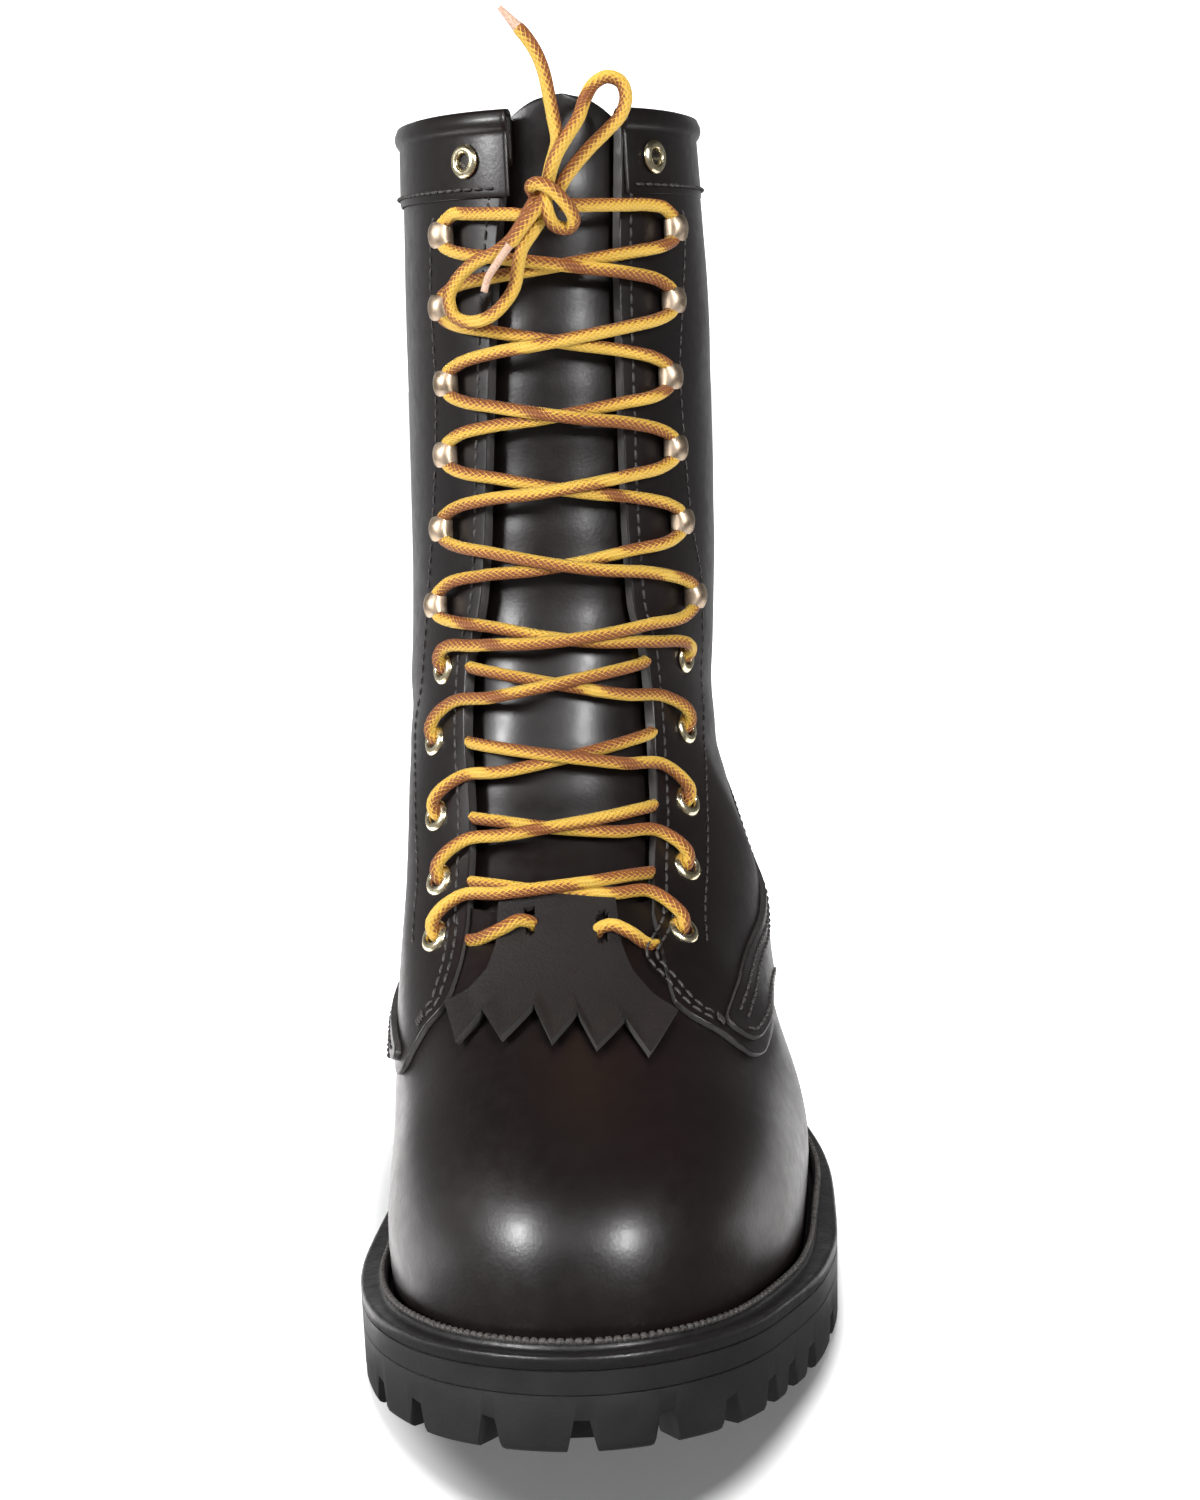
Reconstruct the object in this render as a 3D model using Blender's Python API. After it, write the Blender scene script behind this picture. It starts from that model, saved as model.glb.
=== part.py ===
"""Left lace-up logger boot: sole stack, hollow upper, tongue, trim, hardware and lace."""
import math

import bmesh
import bpy
import numpy as np
from mathutils import Matrix, Vector

# Sizes in metres; the toe points to -Y and the lateral side to +X
SOLE_LENGTH = 0.305
TOE_Y = -SOLE_LENGTH / 2
HEEL_Y = SOLE_LENGTH / 2
TOE_ROUND = 0.078
HEEL_ROUND = 0.040
GAP = 0.0003
SEAT_GAP = 0.0006
WELT_GAP = 0.0009
MIDSOLE_THICK = 0.0055
WELT_THICK = 0.0036
WELT_LIP = 0.0020
WELT_LIP_WIDE = 0.0024
INSOLE_THICK = 0.0035
BREAST_Y = 0.0720
MIDDLE_X = 0.0016
HEEL_LIFT_THICK = 0.0120
HEEL_UNDERSHOT = 0.0085
HEEL_TAPER = 0.94
LUG_DEPTH = 0.0080
LUG_REACH = 0.0130
NOTCH_WIDE = 0.0062
NOTCH_NARROW = 0.0034
# Places of the notches along the sole's rim from the toe, lateral side positive
NOTCHES = (-0.146, -0.126, -0.106, -0.086, -0.0661, -0.0484, -0.0249, -0.0029,
           0.0163, 0.0349, 0.0515, 0.0625, 0.0740, 0.0920, 0.1100, 0.1280, 0.1460)
GROOVE_WIDE = 0.0055
GROOVE_PITCH = 0.0220
QUARTER_STEP = 0.0018
VAMP_WING_LIFT = 0.0013
VAMP_WALL = 0.0022
QUARTER_WALL = 0.0024
COUNTER_THICK = 0.0016
COUNTER_GAP = 0.0004
BAND_THICK = 0.0009
BAND_HEIGHT = 0.0200
BEAD_PROUD = 0.0013
COLLAR_RUN = 0.3385
THROAT_RUN = 0.1130
TONGUE_THICK = 0.0018
TONGUE_UNDER = 0.0034
TONGUE_LAP = 0.0110
KILTIE_THICK = 0.0018
EYELET_HOLE = 0.0034
EYELET_BARREL = 0.0029
EYELET_INNER = 0.0021
EYELET_FLANGE = 0.0044
HOOK_RADIUS = 0.0040
HOOK_METAL = 0.0009
HOOK_RISE = 0.0056
LACE_RADIUS = 0.0017
ROUND_STEPS = 8
EDGE_COLUMNS = 3
SIDE_COLUMNS = 16
PLATE_STATIONS = 26
FOOT_TOP = 0.150
SHAFT_FOOT = 0.080
SWELL_START = 0.0062
SWELL_RISE = 0.018
CROWN_POWER = 2.6
CROWN_ROUND = 2.1


def table(columns, *rows):
    """Rows of numbers as one array for each named column."""
    return dict(zip(columns.split(), np.array(rows, float).T))


# Plan of the sole: centre line, half width, welt beside the upper, swell of the upper
SOLE_PLAN = table(
    "y centre half welt medial lateral",
    (-0.1525, -0.0046, 0.0505, 0.0078, 0.0005, 0.0015),
    (-0.1200, -0.0050, 0.0548, 0.0070, 0.0006, 0.0032),
    (-0.0950, -0.0025, 0.0583, 0.0076, 0.0012, 0.0031),
    (-0.0760, 0.0002, 0.0594, 0.0083, 0.0025, 0.0029),
    (-0.0550, 0.0032, 0.0589, 0.0080, 0.0050, 0.0034),
    (-0.0250, 0.0080, 0.0542, 0.0074, 0.0114, 0.0003),
    (0.0100, 0.0089, 0.0463, 0.0064, 0.0143, 0.0000),
    (0.0450, 0.0062, 0.0418, 0.0052, 0.0103, 0.0028),
    (0.0900, 0.0010, 0.0395, 0.0045, 0.0035, 0.0055),
    (0.1525, 0.0000, 0.0395, 0.0045, 0.0015, 0.0015),
)

# Side of the sole: ground face and top of the midsole
SOLE_SIDE = table(
    "y ground top",
    (-0.1525, 0.0145, 0.0340),
    (-0.1250, 0.0055, 0.0262),
    (-0.0950, 0.0006, 0.0215),
    (-0.0750, 0.0000, 0.0205),
    (-0.0300, 0.0000, 0.0207),
    (-0.0050, 0.0020, 0.0225),
    (0.0250, 0.0130, 0.0300),
    (0.0500, 0.0250, 0.0390),
    (0.0750, 0.0340, 0.0460),
    (0.1100, 0.0370, 0.0490),
    (0.1525, 0.0380, 0.0505),
)

# Crest of the upper from the toe to above the collar
CREST = table(
    "y z x",
    (-0.1437, 0.0330, -0.0040),
    (-0.1432, 0.0430, -0.0040),
    (-0.1405, 0.0535, -0.0040),
    (-0.1330, 0.0640, -0.0038),
    (-0.1200, 0.0720, -0.0034),
    (-0.1000, 0.0795, -0.0032),
    (-0.0800, 0.0862, -0.0044),
    (-0.0650, 0.0922, -0.0056),
    (-0.0520, 0.0995, -0.0064),
    (-0.0395, 0.1095, -0.0070),
    (-0.0282, 0.1230, -0.0065),
    (-0.0178, 0.1420, -0.0050),
    (-0.0095, 0.1680, -0.0032),
    (-0.0044, 0.2000, -0.0020),
    (-0.0009, 0.2400, -0.0010),
    (0.0016, 0.2800, -0.0003),
    (0.0036, 0.3200, 0.0000),
)

# Back of the upper
BACK = table(
    "z y",
    (0.0480, 0.1480),
    (0.0700, 0.1487),
    (0.0900, 0.1455),
    (0.1150, 0.1388),
    (0.1400, 0.1343),
    (0.1800, 0.1298),
    (0.2400, 0.1258),
    (0.3200, 0.1238),
)

# Level sections of the shaft: middle at the front and the back, half width, squareness
SHAFT = table(
    "z front back half power",
    (0.0500, -0.0040, 0.0000, 0.0415, 2.3),
    (0.0900, -0.0082, -0.0012, 0.0450, 2.3),
    (0.1150, -0.0090, -0.0012, 0.0443, 2.3),
    (0.1400, -0.0064, -0.0004, 0.0433, 2.3),
    (0.1800, -0.0027, 0.0000, 0.0433, 2.2),
    (0.2400, -0.0010, 0.0000, 0.0427, 2.1),
    (0.2700, -0.0010, -0.0008, 0.0415, 2.1),
    (0.3000, -0.0014, -0.0014, 0.0400, 2.1),
    (0.3200, -0.0014, -0.0014, 0.0393, 2.1),
)

# Rings of the upper: length along the crest and height at the back
RINGS = table(
    "run back",
    (0.0000, 0.0512),
    (0.0140, 0.0560),
    (0.0350, 0.0632),
    (0.1130, 0.0960),
    (0.1750, 0.1520),
    (0.2500, 0.2170),
    (0.3385, 0.2990),
    (0.3600, 0.3190),
)
UPPER_RUNS = (
    0.0, 0.006, 0.014, 0.023, 0.034, 0.049, 0.067, 0.085, 0.101, THROAT_RUN,
    0.124, 0.137, 0.151, 0.166, 0.183, 0.203, 0.228, 0.260, 0.298, COLLAR_RUN,
)

# Throat edges: where the opening starts on each side at each height
THROAT = table(
    "z medial lateral",
    (0.0900, 0.0314, 0.0165),
    (0.0960, 0.0308, 0.0162),
    (0.1080, 0.0298, 0.0174),
    (0.1230, 0.0290, 0.0192),
    (0.1400, 0.0296, 0.0195),
    (0.1580, 0.0284, 0.0186),
    (0.1760, 0.0240, 0.0150),
    (0.2160, 0.0205, 0.0141),
    (0.2550, 0.0176, 0.0144),
    (0.3010, 0.0121, 0.0160),
    (0.3200, 0.0112, 0.0160),
)

# Lacing rows from the top: height and place of the hardware on each side
ROWS = table(
    "z medial lateral hook",
    (0.2900, 0.0224, 0.0238, 0),
    (0.2715, 0.0272, 0.0268, 1),
    (0.2528, 0.0282, 0.0258, 1),
    (0.2330, 0.0278, 0.0244, 1),
    (0.2140, 0.0288, 0.0252, 1),
    (0.1940, 0.0308, 0.0264, 1),
    (0.1730, 0.0332, 0.0294, 1),
    (0.1560, 0.0350, 0.0294, 0),
    (0.1370, 0.0380, 0.0287, 0),
    (0.1196, 0.0380, 0.0277, 0),
    (0.1056, 0.0376, 0.0262, 0),
    (0.0940, 0.0388, 0.0236, 0),
)

# Edge of the quarters in the side view: down the front seam to the tab, then back along the vamp to the welt
QUARTER_EDGE = table(
    "medial_y medial_z lateral_y lateral_z",
    (-0.0480, 0.1100, -0.0480, 0.1100),
    (-0.0515, 0.0930, -0.0575, 0.0935),
    (-0.0580, 0.0875, -0.0670, 0.0872),
    (-0.0628, 0.0828, -0.0735, 0.0818),
    (-0.0634, 0.0775, -0.0738, 0.0765),
    (-0.0645, 0.0720, -0.0735, 0.0725),
    (-0.0645, 0.0672, -0.0715, 0.0695),
    (-0.0605, 0.0645, -0.0670, 0.0680),
    (-0.0520, 0.0640, -0.0560, 0.0680),
    (-0.0380, 0.0645, -0.0400, 0.0688),
    (-0.0220, 0.0630, -0.0240, 0.0680),
    (-0.0060, 0.0540, -0.0070, 0.0600),
    (0.0080, 0.0420, 0.0080, 0.0450),
    (0.0190, 0.0310, 0.0190, 0.0320),
    (0.0260, 0.0150, 0.0260, 0.0150),
)

# Heel counter cover in the side view: its lower edge to the tip of its wing, then its top edge
COUNTER_EDGE = table(
    "medial_y medial_z lateral_y lateral_z",
    (0.0215, 0.0362, 0.0215, 0.0362),
    (0.0105, 0.0445, 0.0105, 0.0475),
    (-0.0040, 0.0562, -0.0045, 0.0625),
    (-0.0215, 0.0653, -0.0220, 0.0706),
    (-0.0380, 0.0668, -0.0400, 0.0712),
    (-0.0500, 0.0663, -0.0560, 0.0706),
    (-0.0560, 0.0664, -0.0660, 0.0710),
    (-0.0590, 0.0680, -0.0700, 0.0742),
    (-0.0580, 0.0700, -0.0685, 0.0778),
    (-0.0500, 0.0710, -0.0598, 0.0794),
    (-0.0380, 0.0717, -0.0423, 0.0824),
    (-0.0250, 0.0724, -0.0256, 0.0843),
    (-0.0080, 0.0748, -0.0058, 0.0860),
    (0.0120, 0.0830, 0.0150, 0.0935),
    (0.0350, 0.0980, 0.0350, 0.1030),
    (0.0600, 0.1090, 0.0600, 0.1110),
    (0.0900, 0.1160, 0.0900, 0.1165),
    (0.1250, 0.1195, 0.1250, 0.1195),
    (0.1700, 0.1205, 0.1700, 0.1205),
)

# Collar band rows: place along the crest from the collar, and share of the bead
BAND = table(
    "run bead",
    (-BAND_HEIGHT, 0.0),
    (-0.0034, 0.0),
    (-0.0020, 0.8),
    (0.0006, 0.9),
    (0.0016, 0.1),
)

# Tongue rows: length along the crest and share of the full width
TONGUE = table(
    "run taper",
    (0.0970, 0.80),
    (0.1080, 0.86),
    (0.1220, 0.94),
    (0.1400, 1.00),
    (0.1620, 1.00),
    (0.1880, 1.00),
    (0.2160, 1.00),
    (0.2460, 1.00),
    (0.2780, 1.00),
    (0.3100, 1.00),
    (0.3270, 0.96),
    (0.3362, 0.75),
    (0.3415, 0.46),
    (0.3440, 0.18),
)

# Kiltie columns: place at the fringe, length along the crest at its end
KILTIE = table(
    "x run",
    (-0.0340, 0.0862),
    (-0.0318, 0.0722),
    (-0.0263, 0.0890),
    (-0.0221, 0.0780),
    (-0.0143, 0.0945),
    (-0.0105, 0.0790),
    (-0.0043, 0.0915),
    (-0.0002, 0.0765),
    (0.0068, 0.0870),
    (0.0118, 0.0715),
    (0.0194, 0.0825),
)
KILTIE_ROWS = table(
    "part spread",
    (0.00, 0.52),
    (0.20, 0.54),
    (0.40, 0.56),
    (0.60, 0.64),
    (0.80, 0.80),
    (1.00, 1.00),
)
KILTIE_TOP_RUN = 0.1330

# Knot, loops and free ends of the lace: places in front of the shaft
UPPER_LOOP = table(
    "x y z",
    (-0.0032, -0.0105, 0.2806),
    (-0.0025, -0.0130, 0.2846),
    (-0.0007, -0.0145, 0.2895),
    (0.0023, -0.0138, 0.2942),
    (0.0053, -0.0122, 0.2986),
    (0.0073, -0.0104, 0.3035),
    (0.0097, -0.0088, 0.3071),
    (0.0132, -0.0080, 0.3087),
    (0.0166, -0.0076, 0.3073),
    (0.0177, -0.0075, 0.3040),
    (0.0164, -0.0076, 0.2997),
    (0.0128, -0.0082, 0.2959),
    (0.0086, -0.0096, 0.2921),
    (0.0044, -0.0110, 0.2877),
    (0.0011, -0.0118, 0.2836),
    (-0.0009, -0.0100, 0.2801),
)
LOWER_LOOP = table(
    "x y z",
    (-0.0035, -0.0095, 0.2792),
    (-0.0056, -0.0115, 0.2794),
    (-0.0093, -0.0122, 0.2743),
    (-0.0130, -0.0110, 0.2694),
    (-0.0166, -0.0095, 0.2668),
    (-0.0226, -0.0060, 0.2642),
    (-0.0275, -0.0025, 0.2598),
    (-0.0296, -0.0005, 0.2558),
    (-0.0286, -0.0005, 0.2512),
    (-0.0245, -0.0035, 0.2494),
    (-0.0197, -0.0060, 0.2504),
    (-0.0154, -0.0080, 0.2537),
    (-0.0123, -0.0090, 0.2582),
    (-0.0112, -0.0098, 0.2632),
    (-0.0102, -0.0104, 0.2671),
    (-0.0071, -0.0108, 0.2715),
    (-0.0036, -0.0095, 0.2763),
)
UPPER_END = table(
    "x y z",
    (-0.0036, -0.0095, 0.2812),
    (-0.0019, -0.0105, 0.2876),
    (-0.0002, -0.0110, 0.2933),
    (-0.0009, -0.0110, 0.2988),
    (-0.0018, -0.0108, 0.3043),
    (-0.0030, -0.0104, 0.3104),
    (-0.0045, -0.0100, 0.3145),
    (-0.0069, -0.0096, 0.3184),
    (-0.0101, -0.0092, 0.3221),
    (-0.0133, -0.0088, 0.3257),
)
LOWER_END = table(
    "x y z",
    (-0.0024, -0.0120, 0.2808),
    (-0.0048, -0.0148, 0.2783),
    (-0.0064, -0.0156, 0.2766),
    (-0.0100, -0.0158, 0.2724),
    (-0.0136, -0.0150, 0.2677),
    (-0.0166, -0.0140, 0.2639),
    (-0.0191, -0.0130, 0.2602),
    (-0.0202, -0.0125, 0.2570),
)

# Colours, roughness and metal of the materials
LOOKS = {
    "black_leather": ((0.020, 0.018, 0.017), 0.42, 0.0),
    "sole_rubber": ((0.024, 0.024, 0.024), 0.60, 0.0),
    "edge_leather": ((0.022, 0.020, 0.019), 0.50, 0.0),
    "insole_leather": ((0.300, 0.200, 0.120), 0.70, 0.0),
    "brass": ((0.720, 0.560, 0.300), 0.30, 1.0),
    "lace_cord": ((0.700, 0.420, 0.080), 0.75, 0.0),
}

for old in list(bpy.data.objects):
    bpy.data.objects.remove(old, do_unlink=True)
boot = bpy.data.collections.new("logger_boot")
cutters = bpy.data.collections.new("cutters")
bpy.context.scene.collection.children.link(boot)
bpy.context.scene.collection.children.link(cutters)

materials = {}
for look, (colour, rough, metal) in LOOKS.items():
    made = bpy.data.materials.new(look)
    made.use_nodes = True
    shader = made.node_tree.nodes["Principled BSDF"]
    shader.inputs["Base Color"].default_value = (*colour, 1)
    shader.inputs["Roughness"].default_value = rough
    shader.inputs["Metallic"].default_value = metal
    materials[look] = made


def smooth(xs, ys, at):
    """Monotone cubic curve through the rows of a table."""
    at = np.clip(np.asarray(at, float), xs[0], xs[-1])
    step = np.diff(xs)
    slope = np.diff(ys) / step
    tangent = np.zeros(len(xs))
    tangent[0], tangent[-1] = slope[0], slope[-1]
    for k in range(1, len(xs) - 1):
        if slope[k - 1] * slope[k] > 0:
            near = 2 * step[k] + step[k - 1]
            far = step[k] + 2 * step[k - 1]
            tangent[k] = (near + far) / (near / slope[k - 1] + far / slope[k])
    k = np.clip(np.searchsorted(xs, at) - 1, 0, len(step) - 1)
    t = (at - xs[k]) / step[k]
    start = (1 + 2 * t) * (1 - t) ** 2 * ys[k] + t * (1 - t) ** 2 * step[k] * tangent[k]
    end = t * t * (3 - 2 * t) * ys[k + 1] + t * t * (t - 1) * step[k] * tangent[k + 1]
    return start + end


def read(rows, column, at, key="y"):
    return smooth(rows[key], rows[column], at)


def ease(low, high, at):
    t = np.clip((np.asarray(at, float) - low) / (high - low), 0, 1)
    return t * t * (3 - 2 * t)


def sole_top(y):
    return read(SOLE_SIDE, "top", y)


def sole_ground(y):
    return read(SOLE_SIDE, "ground", y)


def welt_width(y):
    return read(SOLE_PLAN, "welt", y)


def outline(count, inset=0.0, first=TOE_Y, last=HEEL_Y):
    """Lateral and medial edges of the sole from toe to heel, moved in by the inset."""
    turn = np.linspace(0, math.pi, count + 1)
    y = (first + last) / 2 - np.cos(turn) * (last - first) / 2
    toe = np.clip((y - TOE_Y) / TOE_ROUND, 0, 1)
    heel = np.clip((HEEL_Y - y) / HEEL_ROUND, 0, 1)
    rounding = (1 - (1 - toe) ** 2.1) ** (1 / 2.0) * (1 - (1 - heel) ** 2.3) ** (1 / 2.3)
    centre = read(SOLE_PLAN, "centre", y)
    half = read(SOLE_PLAN, "half", y) * rounding
    depth = inset(y) if callable(inset) else np.full(len(y), inset)
    sides = []
    for side in (1, -1):
        x = centre + side * half
        run_x, run_y = np.gradient(x), np.gradient(y)
        if first == TOE_Y:
            run_x[0], run_y[0] = side, 0
        if last == HEEL_Y:
            run_x[-1], run_y[-1] = -side, 0
        size = np.hypot(run_x, run_y)
        sides.append(np.stack([x - side * run_y / size * depth,
                               y + side * run_x / size * depth], 1))
    return sides


FEATHER = dict(zip((1, -1), outline(400, welt_width)))
CREST_AT = np.concatenate([[0], np.cumsum(np.hypot(np.diff(CREST["y"]), np.diff(CREST["z"])))])
FINE_RUN = np.linspace(0, CREST_AT[-1], 600)
FINE_CREST = {name: smooth(CREST_AT, CREST[name], FINE_RUN) for name in ("x", "y", "z")}


def crest(run, column):
    return np.interp(run, FINE_RUN, FINE_CREST[column])


def section(y, z, side):
    """X of the form's surface at a place in the side view, on the given side."""
    floor = sole_top(y) + SEAT_GAP
    back, front = read(BACK, "y", z, "z"), np.interp(z, FINE_CREST["z"], FINE_CREST["y"])
    shifted = y - (back - BACK["y"][0]) * ease(0.03, 0.11, y)
    shifted = np.minimum(shifted, FEATHER[side][-1, 1])
    rim = np.interp(shifted, FEATHER[side][:, 1], FEATHER[side][:, 0])
    middle = read(SOLE_PLAN, "centre", shifted)
    reach = np.clip((rim - middle) * side, 0, None)
    crown = np.interp(y, FINE_CREST["y"], FINE_CREST["z"], right=1.0)
    share = np.clip((z - floor) / np.maximum(crown - floor, 1e-5), 0, 1)
    swell = read(SOLE_PLAN, "lateral" if side > 0 else "medial", shifted)
    rise = 1 - np.exp(-np.clip(z - floor - SWELL_START, 0, None) / SWELL_RISE)
    reach = reach + swell * np.clip(reach / 0.03, 0, 1) * rise
    reach = reach * (1 - share ** CROWN_POWER) ** (1 / CROWN_ROUND)
    crest_x = np.interp(y, FINE_CREST["y"], FINE_CREST["x"])
    middle = middle + (crest_x - middle) * share ** 1.5
    along = np.clip((y - front) / (back - front), 0, 1)
    power = read(SHAFT, "power", z, "z")
    leg = read(SHAFT, "half", z, "z") * (1 - np.abs(2 * along - 1) ** power) ** (1 / power)
    leg_middle = read(SHAFT, "front", z, "z") * (1 - along) + read(SHAFT, "back", z, "z") * along
    mix = ease(SHAFT_FOOT, FOOT_TOP, z)
    return middle * (1 - mix) + leg_middle * mix + side * (reach * (1 - mix) + leg * mix)


def ring(run, side, lift=0.0, count=160):
    """Fine points of one ring of the form, from the crest to the back, at least lift high."""
    front_y, front_z = crest(run, "y"), crest(run, "z")
    back_z = float(read(RINGS, "back", run, "run"))
    back_y = float(read(BACK, "y", back_z, "z"))
    along = (1 - np.cos(np.linspace(0, math.pi, count))) / 2
    y = front_y + (back_y - front_y) * along
    low = sole_top(y) + SEAT_GAP
    rise = (front_z - low[0]) * (1 - along) + (back_z - low[-1]) * along
    rise = np.clip(rise, 0, None)
    straight = front_z + (back_z - front_z) * along
    level = ease(0.0, 0.12, run)
    z = (low + rise) * (1 - level) + straight * level
    z = np.maximum(z, low + lift)
    x = section(y, z, side)
    return np.stack([x, y, z], 1)


def columns(points, edge, edge_columns, side_columns):
    """Spread a ring's points: some up to the edge, the rest evenly to the back."""
    length = np.concatenate([[0], np.cumsum(np.linalg.norm(np.diff(points, axis=0), axis=1))])
    grown = np.maximum.accumulate(np.abs(points[:, 0] - points[0, 0]))
    start = np.interp(edge, grown + np.arange(len(grown)) * 1e-9, length)
    near = np.linspace(0, start, edge_columns + 1)
    far = np.linspace(start, length[-1], side_columns - edge_columns)
    at = np.concatenate([near, far[1:]])
    return np.stack([np.interp(at, length, points[:, k]) for k in range(3)], 1)


def throat_edge(run, side):
    """Distance of the throat's edge from the crest."""
    z = crest(run, "z")
    edge = float(read(THROAT, "lateral" if side > 0 else "medial", z, "z"))
    return max(abs(edge - side * crest(run, "x")), 0.006)


def form_ring(run, lift=0.0):
    """One closed ring of the form: lateral front to back, then medial back to front."""
    sides = [columns(ring(run, side, lift), throat_edge(max(run, THROAT_RUN), side),
                     EDGE_COLUMNS, SIDE_COLUMNS) for side in (1, -1)]
    return np.concatenate([sides[0], sides[1][-2:0:-1]])


def form_grid(runs, lift=0.0):
    """Points and outward normals of the form on the given rings."""
    points, normals = [], []
    for run in runs:
        here = form_ring(run, lift)
        lower, upper = form_ring(max(run - 0.001, 0)), form_ring(run + 0.001)
        around = np.roll(here, -1, 0) - np.roll(here, 1, 0)
        normal = np.cross(around, upper - lower)
        normals.append(normal / np.linalg.norm(normal, axis=1)[:, None])
        points.append(here)
    return np.array(points), np.array(normals)


def add_object(name, mesh, look=None):
    made = bpy.data.objects.new(name, mesh)
    if look:
        boot.objects.link(made)
        mesh.materials.append(materials[look])
    else:
        cutters.objects.link(made)
        made.hide_render = True
        made.display_type = "WIRE"
    return made


def finish(bm, name, look=None, merge=1e-6):
    """Turn a bmesh into a closed, outward facing object."""
    bmesh.ops.remove_doubles(bm, verts=bm.verts[:], dist=merge)
    bmesh.ops.dissolve_degenerate(bm, edges=bm.edges[:], dist=merge)
    bmesh.ops.recalc_face_normals(bm, faces=bm.faces[:])
    mesh = bpy.data.meshes.new(name)
    bm.to_mesh(mesh)
    bm.free()
    return add_object(name, mesh, look)


def shell(outer, inner, keep, around):
    """Closed shell between two grids; keep says which cells have material."""
    bm = bmesh.new()
    rows, count = outer.shape[:2]
    layers = [[[bm.verts.new(p) for p in row] for row in grid] for grid in (outer, inner)]
    edges = {}
    for i in range(rows - 1):
        for j in range(count if around else count - 1):
            if not keep(i, j):
                continue
            k = (j + 1) % count
            corners = ((i, j), (i, k), (i + 1, k), (i + 1, j))
            for half in (corners[:3], (corners[0],) + corners[2:]):
                bm.faces.new([layers[0][a][b] for a, b in half])
                bm.faces.new([layers[1][a][b] for a, b in reversed(half)])
            for start, end in zip(corners, corners[1:] + corners[:1]):
                pair = frozenset((start, end))
                edges[pair] = None if pair in edges else (start, end)
    for pair in edges.values():
        if pair:
            (a, b), (c, d) = pair
            bm.faces.new([layers[0][c][d], layers[0][a][b], layers[1][a][b], layers[1][c][d]])
    loose = [v for v in bm.verts if not v.link_faces]
    bmesh.ops.delete(bm, geom=loose, context="VERTS")
    return bm


def boolean(target, operation, cutter):
    tool = target.modifiers.new(cutter.name, "BOOLEAN")
    tool.operation = operation
    tool.solver = "EXACT"
    tool.object = cutter
    tool.use_self = cutter.name.endswith("tread_cutter")
    return tool


def settled(name, source, look=None):
    """A plain mesh object made from an object with its modifiers worked out."""
    bpy.context.view_layer.update()
    graph = bpy.context.evaluated_depsgraph_get()
    mesh = bpy.data.meshes.new_from_object(source.evaluated_get(graph))
    bpy.data.objects.remove(source)
    bm = bmesh.new()
    bm.from_mesh(mesh)
    bpy.data.meshes.remove(mesh)
    return finish(bm, name, look, 2e-5)


def plate(name, look, lateral, medial, top, bottom):
    """Plate between the two edges of an outline, with its top and bottom heights."""
    bm = bmesh.new()
    rows = []
    for (lx, ly), (mx, my) in zip(lateral, medial):
        rows.append([bm.verts.new((lx, ly, top(ly))), bm.verts.new((mx, my, top(my))),
                     bm.verts.new((mx, my, bottom(my))), bm.verts.new((lx, ly, bottom(ly)))])
    for first, second in zip(rows, rows[1:]):
        for k in range(4):
            corner = (k + 1) % 4
            bm.faces.new([first[k], first[corner], second[corner], second[k]])
    bm.faces.new(rows[0])
    bm.faces.new(rows[-1])
    return finish(bm, name, look, 2e-5)


# Sole plates
def outsole_top(y):
    return sole_top(y) - MIDSOLE_THICK - GAP


def insole_inset(y):
    return welt_width(y) + VAMP_WALL + 5 * GAP


edges = outline(PLATE_STATIONS)
plate("midsole", "edge_leather", *edges, sole_top, lambda y: sole_top(y) - MIDSOLE_THICK)
plate("insole", "insole_leather", *outline(PLATE_STATIONS, insole_inset),
      lambda y: sole_top(y) + SEAT_GAP + INSOLE_THICK, lambda y: sole_top(y) + SEAT_GAP)
front_edges = outline(PLATE_STATIONS, 0.0, TOE_Y, BREAST_Y)
outsole = plate("outsole", "sole_rubber", *front_edges, outsole_top, sole_ground)


# Notches between the edge lugs, square to the outline, and grooves across the tread
def box_between(bm, frame, lower, upper):
    """Tapered block: lower and upper hold half length, half width and height."""
    loops = []
    for length, width, height in (lower, upper):
        loop = [(-length, -width), (length, -width), (length, width), (-length, width)]
        loops.append([bm.verts.new(frame @ Vector((a, b, height))) for a, b in loop])
    bm.faces.new(loops[0][::-1])
    bm.faces.new(loops[1])
    for k in range(4):
        n = (k + 1) % 4
        bm.faces.new([loops[0][k], loops[0][n], loops[1][n], loops[1][k]])


fine = outline(300, 0.0, TOE_Y, BREAST_Y)
path = np.concatenate([fine[1][::-1], fine[0][1:]])
length = np.concatenate([[0], np.cumsum(np.linalg.norm(np.diff(path, axis=0), axis=1))])
toe_at = length[len(fine[1]) - 1]
tread = bmesh.new()
for place in NOTCHES:
    at = toe_at + place
    spot = np.array([np.interp(at, length, path[:, k]) for k in (0, 1)])
    ahead = np.array([np.interp(at + 0.002, length, path[:, k]) for k in (0, 1)]) - spot
    inward = np.array([-ahead[1], ahead[0]]) / np.linalg.norm(ahead)
    turn = Matrix.Rotation(math.atan2(inward[1], inward[0]), 4, "Z")
    ground = float(sole_ground(spot[1]))
    frame = Matrix.Translation((spot[0], spot[1], ground)) @ turn
    box_between(tread, frame, (LUG_REACH, NOTCH_WIDE * 0.75, -0.006),
                (LUG_REACH, NOTCH_NARROW / 2, LUG_DEPTH))
for number in range(-3, 4):
    y = -0.068 + number * GROOVE_PITCH
    width = float(np.interp(y, fine[0][:, 1], fine[0][:, 0] - fine[1][:, 0]))
    half = width / 2 - LUG_REACH - 0.005
    middle = float(read(SOLE_PLAN, "centre", y))
    frame = Matrix.Translation((middle, y, float(sole_ground(y))))
    box_between(tread, frame, (half, GROOVE_WIDE * 0.65, -0.006),
                (half, GROOVE_WIDE / 2, LUG_DEPTH * 0.75))
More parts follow.
